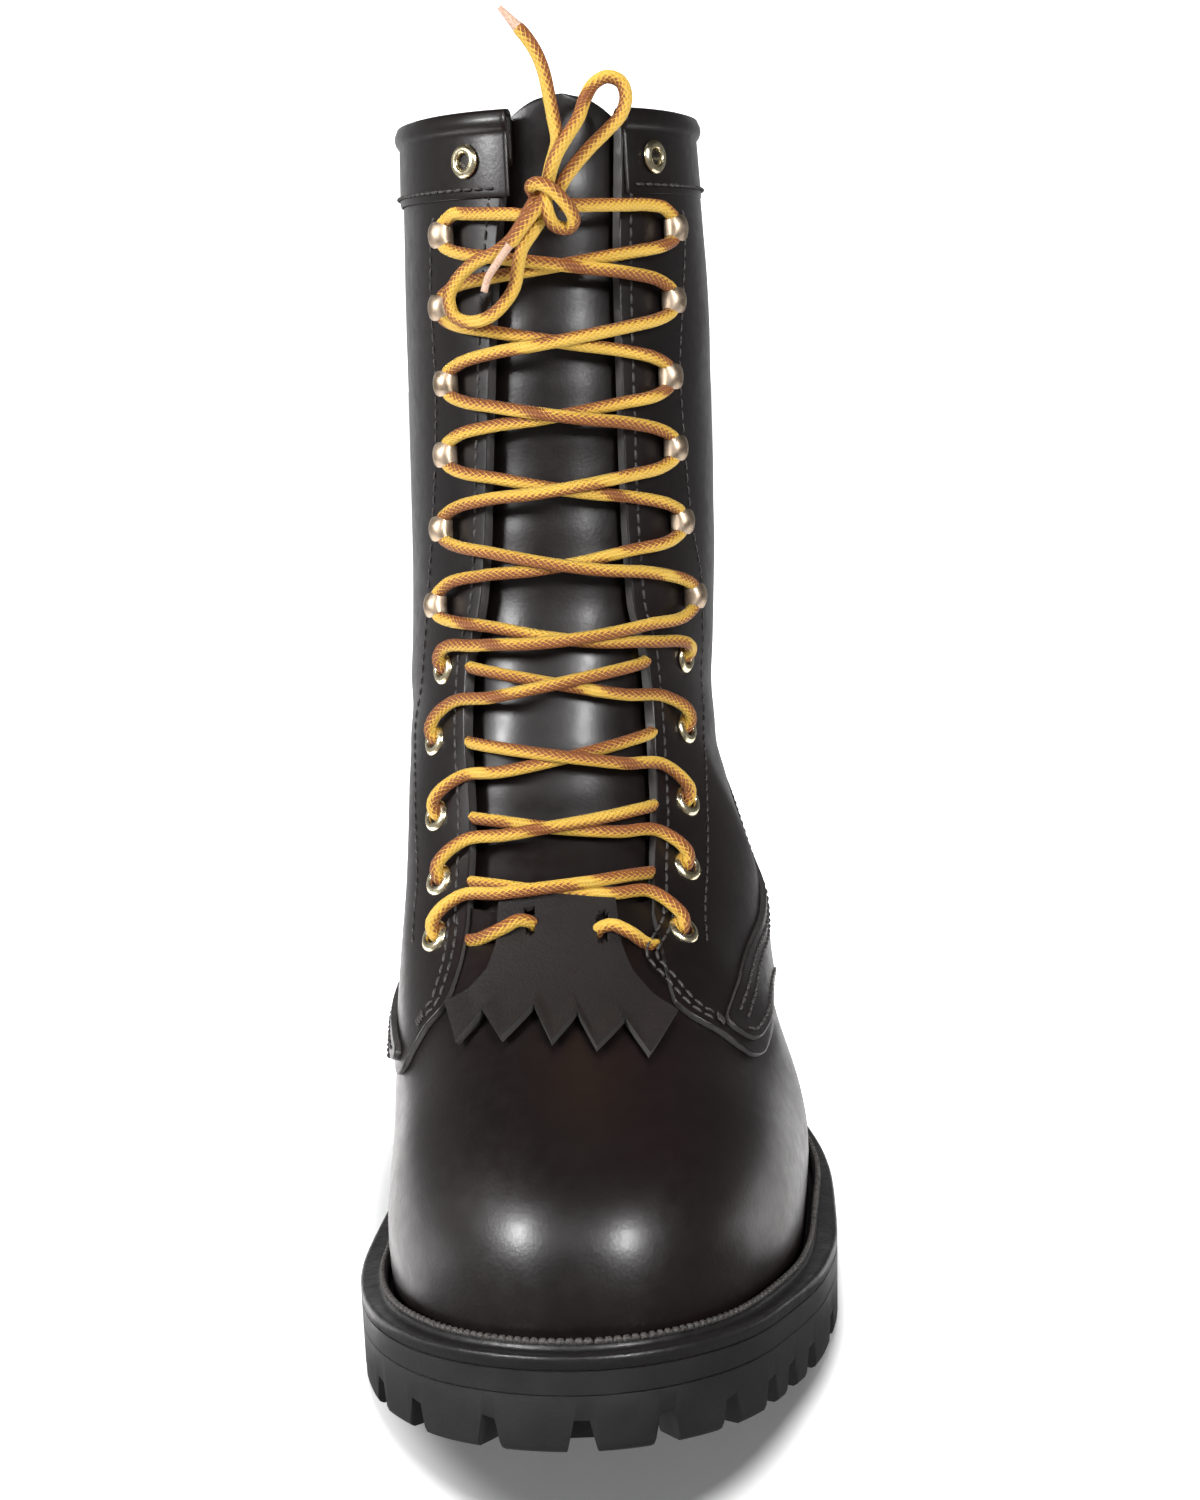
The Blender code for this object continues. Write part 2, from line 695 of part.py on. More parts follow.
boolean(outsole, "DIFFERENCE", finish(tread, "tread_cutter"))


# Heel: stacked block, narrowing downwards, on a rubber lift
def heel_level(share):
    """Edges of the heel at a share of the way down from the seat."""
    lateral, medial = outline(14, 0.0, BREAST_Y + 0.0015, HEEL_Y)
    back = 1 - share * HEEL_UNDERSHOT / (HEEL_Y - BREAST_Y)
    narrow = 1 - share * (1 - HEEL_TAPER)
    scale = np.array([narrow, back])
    shift = np.array([0.0, (BREAST_Y + 0.0015) * (1 - back) + share * 0.003])
    return lateral * scale + shift, medial * scale + shift


def heel_block(name, look, levels):
    """Block through the given levels: share of the way down and height at each place."""
    bm = bmesh.new()
    loops = []
    for share, height in levels:
        lateral, medial = heel_level(share)
        loop = list(lateral) + list(medial[-2::-1])
        loops.append([bm.verts.new((x, y, height(y))) for x, y in loop])
    count = len(loops[0])
    for first, second in zip(loops, loops[1:]):
        for k in range(count):
            n = (k + 1) % count
            bm.faces.new([first[k], first[n], second[n], second[k]])
    half = count // 2
    for loop in (loops[0], loops[-1]):
        for k in range(half - 1):
            bm.faces.new([loop[k], loop[k + 1], loop[count - 2 - k], loop[count - 1 - k]])
        bm.faces.new([loop[half - 1], loop[half], loop[half + 1]])
    return finish(bm, name, look)


heel_block("heel_stack", "edge_leather",
           ((0.0, outsole_top), (0.40, lambda y: 0.0270), (0.72, lambda y: HEEL_LIFT_THICK + GAP)))
heel_lift = heel_block("heel_lift", "sole_rubber",
                       ((0.72, lambda y: HEEL_LIFT_THICK), (1.0, lambda y: 0.0)))
heel_tread = bmesh.new()
lateral, medial = heel_level(1.0)
for number in (3, 6, 9):
    for side, edge in ((1, lateral), (-1, medial)):
        frame = Matrix.Translation((edge[number][0], edge[number][1], 0.0))
        box_between(heel_tread, frame, (LUG_REACH, NOTCH_WIDE * 0.7, -0.006),
                    (LUG_REACH, NOTCH_NARROW / 2, LUG_DEPTH * 0.7))
boolean(heel_lift, "DIFFERENCE", finish(heel_tread, "heel_tread_cutter"))


# Welt: ring around the upper with a raised lip beside it
def welt_inner(y):
    return welt_width(y) - WELT_GAP - QUARTER_STEP * ease(-0.080, -0.040, y)


def welt_ring(inset, height):
    lateral, medial = outline(PLATE_STATIONS, inset)
    loop = list(lateral) + list(medial[-2:0:-1])
    return [(x, y, float(sole_top(y)) + height) for x, y in loop]


welt = bmesh.new()
profile = (
    (welt_inner, GAP),
    (0.0, GAP),
    (0.0009, GAP + WELT_THICK),
    (lambda y: welt_inner(y) - np.minimum(WELT_LIP_WIDE, welt_inner(y) * 0.45), GAP + WELT_THICK),
    (lambda y: welt_inner(y) - np.minimum(WELT_LIP_WIDE, welt_inner(y) * 0.45) * 0.6,
     GAP + WELT_THICK + WELT_LIP),
    (welt_inner, GAP + WELT_THICK + WELT_LIP * 0.8),
)
rings = [[welt.verts.new(p) for p in welt_ring(inset, height)] for inset, height in profile]
for first, second in zip(rings, rings[1:] + rings[:1]):
    for k in range(len(first)):
        n = (k + 1) % len(first)
        welt.faces.new([first[k], first[n], second[n], second[k]])
finish(welt, "welt", "edge_leather")

# Upper: one shell, recessed over the vamp so that the quarters step over it
grid, normals = form_grid(UPPER_RUNS)
throat_row = UPPER_RUNS.index(THROAT_RUN)
ring_size = grid.shape[1]


def over_throat(i, j):
    """True for the cells of the throat's opening."""
    return i >= throat_row and (j < EDGE_COLUMNS or j >= ring_size - EDGE_COLUMNS)


behind = ease(-0.080, -0.040, grid[:, :, 1])[:, :, None]
inner_depth = VAMP_WALL + (QUARTER_WALL - QUARTER_STEP - VAMP_WALL) * behind
body = shell(grid + normals * QUARTER_STEP, grid - normals * inner_depth,
             lambda i, j: not over_throat(i, j), True)
upper = finish(body, "upper_blank", "black_leather")

front_rows = throat_row + 3
lowest = grid[:1] - np.array([0, 0, 0.006])
cut_inner = np.concatenate([lowest, grid[:front_rows]])
cut_normals = np.concatenate([normals[:1], normals[:front_rows]])
wing = ease(-0.080, -0.040, cut_inner[:, :, 1]) * (1 - ease(0.064, 0.078, cut_inner[:, :, 2]))
cut_lift = VAMP_WING_LIFT * wing[:, :, None]
vamp_space = shell(cut_inner + cut_normals * 0.007, cut_inner + cut_normals * cut_lift,
                   lambda i, j: True, True)
vamp_shell = finish(vamp_space, "vamp_space")


def side_block(name, edge_sets, corners):
    """Block across the boot whose side view changes from the medial to the lateral edge."""
    bm = bmesh.new()
    loops = []
    for x, edge in edge_sets:
        loops.append([bm.verts.new((x, y, z)) for y, z in list(edge) + corners])
    for first, second in zip(loops, loops[1:]):
        for k in range(len(first)):
            n = (k + 1) % len(first)
            bm.faces.new([first[k], first[n], second[n], second[k]])
    bm.faces.new(loops[0])
    bm.faces.new(loops[-1])
    return finish(bm, name)


def edges_of(rows):
    """Medial and lateral edges of a table with their places across the boot."""
    medial_edge = list(zip(rows["medial_y"], rows["medial_z"]))
    lateral_edge = list(zip(rows["lateral_y"], rows["lateral_z"]))
    return ((-0.10, medial_edge), (-0.045, medial_edge), (0.025, lateral_edge), (0.10, lateral_edge))


vamp_corners = [(-0.20, QUARTER_EDGE["lateral_z"][-1]), (-0.20, 0.135), (QUARTER_EDGE["lateral_y"][0], 0.135)]
vamp_block = side_block("vamp_block", edges_of(QUARTER_EDGE), vamp_corners)
boolean(vamp_shell, "INTERSECT", vamp_block)
boolean(upper, "DIFFERENCE", settled("vamp_cutter", vamp_shell))
upper = settled("upper", upper, "black_leather")

# Heel counter cover, cut from a shell over the quarters
counter_rows = throat_row + 4
rear = range(EDGE_COLUMNS + 1, ring_size - EDGE_COLUMNS)
counter_lift = QUARTER_STEP + COUNTER_GAP
counter_inner = (grid + normals * counter_lift)[:counter_rows, rear]
counter_outer = (grid + normals * (counter_lift + COUNTER_THICK))[:counter_rows, rear]
counter_shell = shell(counter_outer, counter_inner, lambda i, j: True, False)
counter = finish(counter_shell, "heel_counter", "black_leather")
seat_line = []
for y in np.linspace(0.17, COUNTER_EDGE["lateral_y"][0] + 0.008, 14):
    seat_line.append((y, float(sole_top(y)) + WELT_THICK + WELT_LIP + WELT_GAP))
boolean(counter, "INTERSECT", side_block("counter_cutter", edges_of(COUNTER_EDGE), seat_line))

# Collar band with a rolled bead along the top
band_grid, band_normals = form_grid(COLLAR_RUN + BAND["run"])
band_proud = BAND["bead"] * BEAD_PROUD + BAND_THICK
band_inner = band_grid + band_normals * (QUARTER_STEP + GAP)
band_outer = band_inner + band_normals * band_proud[:, None, None]
finish(shell(band_outer, band_inner, lambda i, j: not over_throat(throat_row, j), True),
       "collar_band", "black_leather")


# Places on the form by height and side
def place(z, across):
    """Point and outward normal on the form at a height and a distance across."""
    side = 1 if across > 0 else -1
    front = float(np.interp(z, FINE_CREST["z"], FINE_CREST["y"]))
    y = front + np.linspace(0, 0.07, 300)
    x = section(y, np.full(300, z), side)
    grown = np.maximum.accumulate(np.abs(x)) + np.arange(300) * 1e-9
    best = float(np.interp(abs(across), grown, y))
    here = np.array([across, best, z])
    tilt = []
    for dy, dz in ((0.001, 0), (0, 0.001)):
        ahead = section(np.array([best + dy]), np.array([z + dz]), side)[0]
        behind_x = section(np.array([best - dy]), np.array([z - dz]), side)[0]
        tilt.append((ahead - behind_x) / 0.002)
    normal = np.array([side, -side * tilt[0], -side * tilt[1]])
    normal = Vector(normal / np.linalg.norm(normal))
    return Vector(here), normal


def stand(point, normal, lift_by, toward):
    """Placement with +Z along the normal and +X towards a direction."""
    across = Vector(toward)
    across = (across - normal * across.dot(normal)).normalized()
    up = normal.cross(across)
    turn = Matrix((across, up, normal)).transposed().to_4x4()
    return Matrix.Translation(point + normal * lift_by) @ turn


# Eyelet and hook shapes
eyelet_profile = (
    (EYELET_INNER, -0.0030), (EYELET_BARREL, -0.0030), (EYELET_BARREL, GAP),
    (EYELET_FLANGE, GAP), (EYELET_INNER * 1.3, 0.0012),
)


def turned(name, rows, steps):
    bm = bmesh.new()
    loops = []
    for k in range(steps):
        angle = 2 * math.pi * k / steps
        loops.append([bm.verts.new((r * math.cos(angle), r * math.sin(angle), z)) for r, z in rows])
    for k in range(steps):
        here, ahead = loops[k], loops[(k + 1) % steps]
        for a in range(len(rows)):
            b = (a + 1) % len(rows)
            bm.faces.new([here[a], ahead[a], ahead[b], here[b]])
    bmesh.ops.recalc_face_normals(bm, faces=bm.faces[:])
    mesh = bpy.data.meshes.new(name)
    bm.to_mesh(mesh)
    bm.free()
    mesh.materials.append(materials["brass"])
    return mesh


eyelet_mesh = turned("eyelet", eyelet_profile, ROUND_STEPS)

# Side view of a hook: foot on the leather, bend at the throat side, lip held over the foot
hook_line = ((0.0040, 0.0), (-0.0017, 0.0), (-0.0029, 0.0011), (-0.0029, HOOK_RISE - 0.0015),
             (-0.0015, HOOK_RISE), (0.0034, HOOK_RISE - 0.0009))
strip = bmesh.new()
outer_line, inner_line = [], []
for k, (a, b) in enumerate(hook_line):
    before = Vector(hook_line[max(k - 1, 0)])
    after = Vector(hook_line[min(k + 1, len(hook_line) - 1)])
    along = (after - before).normalized()
    outer_line.append(Vector((a, b)))
    inner_line.append(Vector((a, b)) + Vector((along.y, -along.x)) * HOOK_METAL)
loops = []
for width in (-0.006, 0.006):
    loop = outer_line + inner_line[::-1]
    loops.append([strip.verts.new((p.x, width, p.y)) for p in loop])
count = len(loops[0])
for k in range(count):
    n = (k + 1) % count
    strip.faces.new([loops[0][k], loops[0][n], loops[1][n], loops[1][k]])
strip.faces.new(loops[0])
strip.faces.new(loops[1])
hook_strip = finish(strip, "hook_strip")
drum = bmesh.new()
bmesh.ops.create_cone(drum, cap_ends=True, segments=ROUND_STEPS, radius1=HOOK_RADIUS,
                      radius2=HOOK_RADIUS, depth=0.03)
hook_drum = finish(drum, "hook_drum")
boolean(hook_strip, "INTERSECT", hook_drum)
hook_shape = settled("hook_shape", hook_strip)
hook_mesh = hook_shape.data
hook_mesh.materials.append(materials["brass"])

SIDES = (("medial", -1), ("lateral", 1))
holes = bmesh.new()
top_holes = bmesh.new()
for row in range(len(ROWS["z"])):
    for side_name, side in SIDES:
        point, normal = place(ROWS["z"][row], side * ROWS[side_name][row])
        kind = "hook" if ROWS["hook"][row] else "eyelet"
        name = f"{kind}_{side_name}_{row + 1:02d}"
        made = bpy.data.objects.new(name, hook_mesh if kind == "hook" else eyelet_mesh)
        boot.objects.link(made)
        lift_by = QUARTER_STEP + GAP
        if row == 0:
            lift_by += GAP + BAND_THICK
        made.matrix_world = stand(point, normal, lift_by, (side, 0, 0))
        if kind == "eyelet":
            for drilled in (holes, top_holes) if row == 0 else (holes,):
                bmesh.ops.create_cone(drilled, cap_ends=True, segments=ROUND_STEPS, radius1=EYELET_HOLE,
                                      radius2=EYELET_HOLE, depth=0.024, matrix=made.matrix_world)
boolean(upper, "DIFFERENCE", finish(holes, "hole_cutter"))
boolean(boot.objects["collar_band"], "DIFFERENCE", finish(top_holes, "band_hole_cutter"))


# Strips that lie along the throat, by distance across and length along the crest
def on_ring(run, across):
    """Point and normal on a ring of the form at a distance across."""
    spots = []
    for at in (run - 0.001, run, run + 0.001):
        medial, lateral = ring(at, -1), ring(at, 1)
        medial = medial[:np.argmin(medial[:, 0]) + 1]
        lateral = lateral[:np.argmax(lateral[:, 0]) + 1]
        line = np.concatenate([medial[::-1], lateral[1:]])
        order = np.maximum.accumulate(line[:, 0] + np.arange(len(line)) * 1e-9)
        spots.append([np.array([a] + [np.interp(a, order, line[:, k]) for k in (1, 2)])
                      for a in (across - 0.001, across, across + 0.001)])
    normal = np.cross(spots[1][2] - spots[1][0], spots[2][1] - spots[0][1])
    return spots[1][1], normal / np.linalg.norm(normal)


# Tongue
tongue_columns = np.linspace(-1, 1, 9)
tongue_outer, tongue_inner = [], []
for run, taper in zip(TONGUE["run"], TONGUE["taper"]):
    left = -float(read(THROAT, "medial", crest(run, "z"), "z")) - TONGUE_LAP
    right = float(read(THROAT, "lateral", crest(run, "z"), "z")) + TONGUE_LAP
    outer_row, inner_row = [], []
    for t in tongue_columns:
        across = (left + right) / 2 + t * (right - left) / 2 * taper
        spot, normal = on_ring(run, across)
        outer_row.append(spot - normal * TONGUE_UNDER)
        inner_row.append(spot - normal * (TONGUE_UNDER + TONGUE_THICK))
    tongue_outer.append(outer_row)
    tongue_inner.append(inner_row)
finish(shell(np.array(tongue_outer), np.array(tongue_inner), lambda i, j: True, False),
       "tongue", "black_leather")

# Kiltie with its pointed fringe
kiltie_outer, kiltie_inner = [], []
kiltie_middle = (KILTIE["x"][0] + KILTIE["x"][-1]) / 2
for part, spread in zip(KILTIE_ROWS["part"], KILTIE_ROWS["spread"]):
    outer_row, inner_row = [], []
    for across, end_run in zip(KILTIE["x"], KILTIE["run"]):
        run = KILTIE_TOP_RUN + (end_run - KILTIE_TOP_RUN) * part
        spot, normal = on_ring(run, kiltie_middle + (across - kiltie_middle) * spread)
        inner_row.append(spot + normal * 2 * GAP)
        outer_row.append(spot + normal * (2 * GAP + KILTIE_THICK))
    kiltie_outer.append(outer_row)
    kiltie_inner.append(inner_row)
finish(shell(np.array(kiltie_outer), np.array(kiltie_inner), lambda i, j: True, False),
       "kiltie", "black_leather")


# Lace
def tube(name, points, look="lace_cord", radius=LACE_RADIUS):
    """Closed tube along the points."""
    curve = bpy.data.curves.new(name, "CURVE")
    curve.dimensions = "3D"
    curve.bevel_depth = radius
    curve.bevel_resolution = 2
    curve.use_fill_caps = True
    line = curve.splines.new("POLY")
    line.points.add(len(points) - 1)
    for spot, p in zip(line.points, points):
        spot.co = (*p, 1)
    holder = bpy.data.objects.new(name, curve)
    cutters.objects.link(holder)
    bpy.context.view_layer.update()
    mesh = bpy.data.meshes.new_from_object(holder)
    bpy.data.objects.remove(holder)
    bpy.data.curves.remove(curve)
    bm = bmesh.new()
    bm.from_mesh(mesh)
    bpy.data.meshes.remove(mesh)
    return finish(bm, name, look, 1e-5)


def strand(start_row, start_side, end_row, over, tuck):
    """Points of one strand across the throat, from hardware to the next row."""
    names = {-1: "medial", 1: "lateral"}
    start_z, end_z = ROWS["z"][start_row], ROWS["z"][end_row]
    start_x = start_side * (ROWS[names[start_side]][start_row] - 0.0055)
    end_x = -start_side * (ROWS[names[-start_side]][end_row] - 0.0055)
    if tuck:
        edge = float(read(THROAT, names[-start_side], end_z, "z"))
        end_x = -start_side * (edge - LACE_RADIUS - 0.0012)
    start_z += 0.0048 if tuck else 0.0026
    end_z -= 0.0010 if tuck else 0.0026
    points = []
    for t in np.linspace(0, 1, 5):
        across = start_x + (end_x - start_x) * t
        z = start_z + (end_z - start_z) * t
        run = float(np.interp(z, FINE_CREST["z"], FINE_RUN))
        spot, normal = on_ring(run, across)
        dip = math.sin(math.pi * t) ** 2
        height = QUARTER_STEP + LACE_RADIUS + 0.0018 + over * dip * 0.0010
        if start_row == 11:
            height += 0.0012
        points.append(spot + normal * height)
    return points


def joined(name, first_points, second_points):
    """Two strands that cross, joined into one piece."""
    first = tube(name, first_points)
    second = tube(name + "_strand", second_points, None)
    boolean(first, "UNION", second)
    return first


for row in range(1, 11):
    tuck = row >= 7
    from_medial = strand(row + 1, -1, row, 1, tuck)
    from_lateral = strand(row + 1, 1, row, -1, tuck)
    joined(f"lace_cross_{row:02d}", from_medial, from_lateral)


def bar(name, start_x, end_x, z, count, height):
    points = []
    for across in np.linspace(start_x, end_x, count):
        run = float(np.interp(z, FINE_CREST["z"], FINE_RUN))
        spot, normal = on_ring(run, across)
        points.append(spot + normal * height)
    return tube(name, points)


top_lift = QUARTER_STEP + LACE_RADIUS + 0.0008
low_lift = KILTIE_THICK + 2 * GAP + LACE_RADIUS + 0.0005
bar("lace_bar_top", 0.002 - ROWS["medial"][1], ROWS["lateral"][1] - 0.002,
    ROWS["z"][1] + 0.0062, 9, top_lift)
bar("lace_bar_low_medial", -0.0262, -0.0150, 0.0945, 4, low_lift)
bar("lace_bar_low_lateral", 0.0010, 0.0112, 0.0935, 4, low_lift)

knot = bmesh.new()
bmesh.ops.create_icosphere(knot, subdivisions=1, radius=1.0)
bmesh.ops.transform(knot, matrix=Matrix.Translation((-0.0030, -0.0105, 0.2785))
                    @ Matrix.Diagonal((0.0062, 0.0038, 0.0048, 1)), verts=knot.verts[:])
bow = finish(knot, "lace_bow", "lace_cord")


def cord_line(rows):
    return np.stack([rows["x"], rows["y"], rows["z"]], 1)


for name, rows in (("loop_upper", UPPER_LOOP), ("loop_lower", LOWER_LOOP),
                   ("end_upper", UPPER_END), ("end_lower", LOWER_END)):
    boolean(bow, "UNION", tube(name, cord_line(rows), None))

# The origin lies under the middle of the boot's width
for node in list(boot.objects) + list(cutters.objects):
    node.location.x -= MIDDLE_X
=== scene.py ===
import math

import bmesh
import bpy
import numpy as np
from mathutils import Matrix, Vector
from mathutils.kdtree import KDTree


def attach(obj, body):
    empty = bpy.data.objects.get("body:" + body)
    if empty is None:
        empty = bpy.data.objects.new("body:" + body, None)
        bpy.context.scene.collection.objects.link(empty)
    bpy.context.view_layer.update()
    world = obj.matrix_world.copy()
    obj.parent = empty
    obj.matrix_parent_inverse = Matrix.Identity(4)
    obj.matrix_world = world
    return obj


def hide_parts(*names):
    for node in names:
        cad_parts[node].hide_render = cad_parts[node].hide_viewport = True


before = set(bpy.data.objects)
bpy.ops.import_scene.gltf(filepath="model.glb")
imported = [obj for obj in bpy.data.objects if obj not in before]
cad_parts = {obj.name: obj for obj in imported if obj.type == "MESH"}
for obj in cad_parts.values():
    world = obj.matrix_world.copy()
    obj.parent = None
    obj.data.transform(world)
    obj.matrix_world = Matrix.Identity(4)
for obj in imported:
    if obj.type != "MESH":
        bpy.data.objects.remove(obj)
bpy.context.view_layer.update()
print("frame loaded:", len(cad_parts), "solids")


# Small tools for tables and curves
def columnsOf(names, *rows):
    return dict(zip(names.split(), np.array(rows, float).T))


def curveThrough(xs, ys, at):
    at = np.clip(np.asarray(at, float), xs[0], xs[-1])
    step = np.diff(xs)
    slope = np.diff(ys) / step
    tangent = np.zeros(len(xs))
    tangent[0], tangent[-1] = slope[0], slope[-1]
    for k in range(1, len(xs) - 1):
        if slope[k - 1] * slope[k] > 0:  # no overshoot between the rows
            near = 2 * step[k] + step[k - 1]
            far = step[k] + 2 * step[k - 1]
            tangent[k] = (near + far) / (near / slope[k - 1] + far / slope[k])
    k = np.clip(np.searchsorted(xs, at) - 1, 0, len(step) - 1)
    t = (at - xs[k]) / step[k]
    start = (1 + 2 * t) * (1 - t) ** 2 * ys[k] + t * (1 - t) ** 2 * step[k] * tangent[k]
    end = t * t * (3 - 2 * t) * ys[k + 1] + t * t * (t - 1) * step[k] * tangent[k + 1]
    return start + end


def readRow(rows, column, at, key="y"):
    return curveThrough(rows[key], rows[column], at)


def ease(low, high, at):
    t = np.clip((np.asarray(at, float) - low) / (high - low), 0, 1)
    return t * t * (3 - 2 * t)


def lengthsAlong(points):
    return np.concatenate([[0], np.cumsum(np.linalg.norm(np.diff(points, axis=0), axis=1))])


def evenly(points, count):
    # smooth curve through the points, then equal steps along it
    points = np.asarray(points, float)
    at = lengthsAlong(points)
    tangent = np.gradient(points, at, axis=0)
    fineAt = np.linspace(0, at[-1], 40 * len(points))
    k = np.clip(np.searchsorted(at, fineAt) - 1, 0, len(at) - 2)
    step = (at[k + 1] - at[k])[:, None]
    t = ((fineAt - at[k])[:, None]) / step
    fine = ((1 + 2 * t) * (1 - t) ** 2 * points[k] + t * (1 - t) ** 2 * step * tangent[k]
            + t * t * (3 - 2 * t) * points[k + 1] + t * t * (t - 1) * step * tangent[k + 1])
    fineAt = lengthsAlong(fine)
    want = np.linspace(0, fineAt[-1], count)
    return np.stack([np.interp(want, fineAt, fine[:, c]) for c in range(fine.shape[1])], 1)


# The boot's form in metres: toe to -Y, outer side to +X
solePlan = columnsOf(
    "y centre half welt medial lateral",
    (-0.1525, -0.0046, 0.0505, 0.0078, 0.0005, 0.0015),
    (-0.1200, -0.0050, 0.0548, 0.0070, 0.0006, 0.0032),
    (-0.0950, -0.0025, 0.0583, 0.0076, 0.0012, 0.0031),
    (-0.0760, 0.0002, 0.0594, 0.0083, 0.0025, 0.0029),
    (-0.0550, 0.0032, 0.0589, 0.0080, 0.0050, 0.0034),
    (-0.0250, 0.0080, 0.0542, 0.0074, 0.0114, 0.0003),
    (0.0100, 0.0089, 0.0463, 0.0064, 0.0143, 0.0000),
    (0.0450, 0.0062, 0.0418, 0.0052, 0.0103, 0.0028),
    (0.0900, 0.0010, 0.0395, 0.0045, 0.0035, 0.0055),
    (0.1525, 0.0000, 0.0395, 0.0045, 0.0015, 0.0015))
soleSide = columnsOf(
    "y ground top",
    (-0.1525, 0.0145, 0.0340), (-0.1250, 0.0055, 0.0262), (-0.0950, 0.0006, 0.0215),
    (-0.0750, 0.0000, 0.0205), (-0.0300, 0.0000, 0.0207), (-0.0050, 0.0020, 0.0225),
    (0.0250, 0.0130, 0.0300), (0.0500, 0.0250, 0.0390), (0.0750, 0.0340, 0.0460),
    (0.1100, 0.0370, 0.0490), (0.1525, 0.0380, 0.0505))
crestLine = columnsOf(
    "y z x",
    (-0.1437, 0.0330, -0.0040), (-0.1432, 0.0430, -0.0040), (-0.1405, 0.0535, -0.0040),
    (-0.1330, 0.0640, -0.0038), (-0.1200, 0.0720, -0.0034), (-0.1000, 0.0795, -0.0032),
    (-0.0800, 0.0862, -0.0044), (-0.0650, 0.0922, -0.0056), (-0.0520, 0.0995, -0.0064),
    (-0.0395, 0.1095, -0.0070), (-0.0282, 0.1230, -0.0065), (-0.0178, 0.1420, -0.0050),
    (-0.0095, 0.1680, -0.0032), (-0.0044, 0.2000, -0.0020), (-0.0009, 0.2400, -0.0010),
    (0.0016, 0.2800, -0.0003), (0.0036, 0.3200, 0.0000))
backLine = columnsOf(
    "z y",
    (0.0480, 0.1480), (0.0700, 0.1487), (0.0900, 0.1455), (0.1150, 0.1388),
    (0.1400, 0.1343), (0.1800, 0.1298), (0.2400, 0.1258), (0.3200, 0.1238))
shaftLevels = columnsOf(
    "z front back half power",
    (0.0500, -0.0040, 0.0000, 0.0415, 2.3), (0.0900, -0.0082, -0.0012, 0.0450, 2.3),
    (0.1150, -0.0090, -0.0012, 0.0443, 2.3), (0.1400, -0.0064, -0.0004, 0.0433, 2.3),
    (0.1800, -0.0027, 0.0000, 0.0433, 2.2), (0.2400, -0.0010, 0.0000, 0.0427, 2.1),
    (0.2700, -0.0010, -0.0008, 0.0415, 2.1), (0.3000, -0.0014, -0.0014, 0.0400, 2.1),
    (0.3200, -0.0014, -0.0014, 0.0393, 2.1))
ringBacks = columnsOf(
    "run back",
    (0.0000, 0.0512), (0.0140, 0.0560), (0.0350, 0.0632), (0.1130, 0.0960),
    (0.1750, 0.1520), (0.2500, 0.2170), (0.3385, 0.2990), (0.3600, 0.3190))
throatEdges = columnsOf(
    "z medial lateral",
    (0.0900, 0.0314, 0.0165), (0.0960, 0.0308, 0.0162), (0.1080, 0.0298, 0.0174),
    (0.1230, 0.0290, 0.0192), (0.1400, 0.0296, 0.0195), (0.1580, 0.0284, 0.0186),
    (0.1760, 0.0240, 0.0150), (0.2160, 0.0205, 0.0141), (0.2550, 0.0176, 0.0144),
    (0.3010, 0.0121, 0.0160), (0.3200, 0.0112, 0.0160))
lacingRows = columnsOf(
    "z medial lateral hook",
    (0.2900, 0.0224, 0.0238, 0), (0.2715, 0.0272, 0.0268, 1), (0.2528, 0.0282, 0.0258, 1),
    (0.2330, 0.0278, 0.0244, 1), (0.2140, 0.0288, 0.0252, 1), (0.1940, 0.0308, 0.0264, 1),
    (0.1730, 0.0332, 0.0294, 1), (0.1560, 0.0350, 0.0294, 0), (0.1370, 0.0380, 0.0287, 0),
    (0.1196, 0.0380, 0.0277, 0), (0.1056, 0.0376, 0.0262, 0), (0.0940, 0.0388, 0.0236, 0))
quarterFront = columnsOf(
    "medialY medialZ lateralY lateralZ",
    (-0.0480, 0.1100, -0.0480, 0.1100), (-0.0515, 0.0930, -0.0575, 0.0935),
    (-0.0580, 0.0875, -0.0670, 0.0872), (-0.0628, 0.0828, -0.0735, 0.0818),
    (-0.0634, 0.0775, -0.0738, 0.0765), (-0.0645, 0.0720, -0.0735, 0.0725),
    (-0.0645, 0.0672, -0.0715, 0.0695), (-0.0605, 0.0645, -0.0670, 0.0680),
    (-0.0520, 0.0640, -0.0560, 0.0680), (-0.0380, 0.0645, -0.0400, 0.0688),
    (-0.0220, 0.0630, -0.0240, 0.0680), (-0.0060, 0.0540, -0.0070, 0.0600),
    (0.0080, 0.0420, 0.0080, 0.0450), (0.0190, 0.0310, 0.0190, 0.0320),
    (0.0260, 0.0150, 0.0260, 0.0150))
counterEdge = columnsOf(
    "medialY medialZ lateralY lateralZ",
    (0.0215, 0.0362, 0.0215, 0.0362), (0.0105, 0.0445, 0.0105, 0.0475),
    (-0.0040, 0.0562, -0.0045, 0.0625), (-0.0215, 0.0653, -0.0220, 0.0706),
    (-0.0380, 0.0668, -0.0400, 0.0712), (-0.0500, 0.0663, -0.0560, 0.0706),
    (-0.0560, 0.0664, -0.0660, 0.0710), (-0.0590, 0.0680, -0.0700, 0.0742),
    (-0.0580, 0.0700, -0.0685, 0.0778), (-0.0500, 0.0710, -0.0598, 0.0794),
    (-0.0380, 0.0717, -0.0423, 0.0824), (-0.0250, 0.0724, -0.0256, 0.0843),
    (-0.0080, 0.0748, -0.0058, 0.0860), (0.0120, 0.0830, 0.0150, 0.0935),
    (0.0350, 0.0980, 0.0350, 0.1030), (0.0600, 0.1090, 0.0600, 0.1110),
    (0.0900, 0.1160, 0.0900, 0.1165), (0.1250, 0.1195, 0.1250, 0.1195),
    (0.1700, 0.1205, 0.1700, 0.1205))
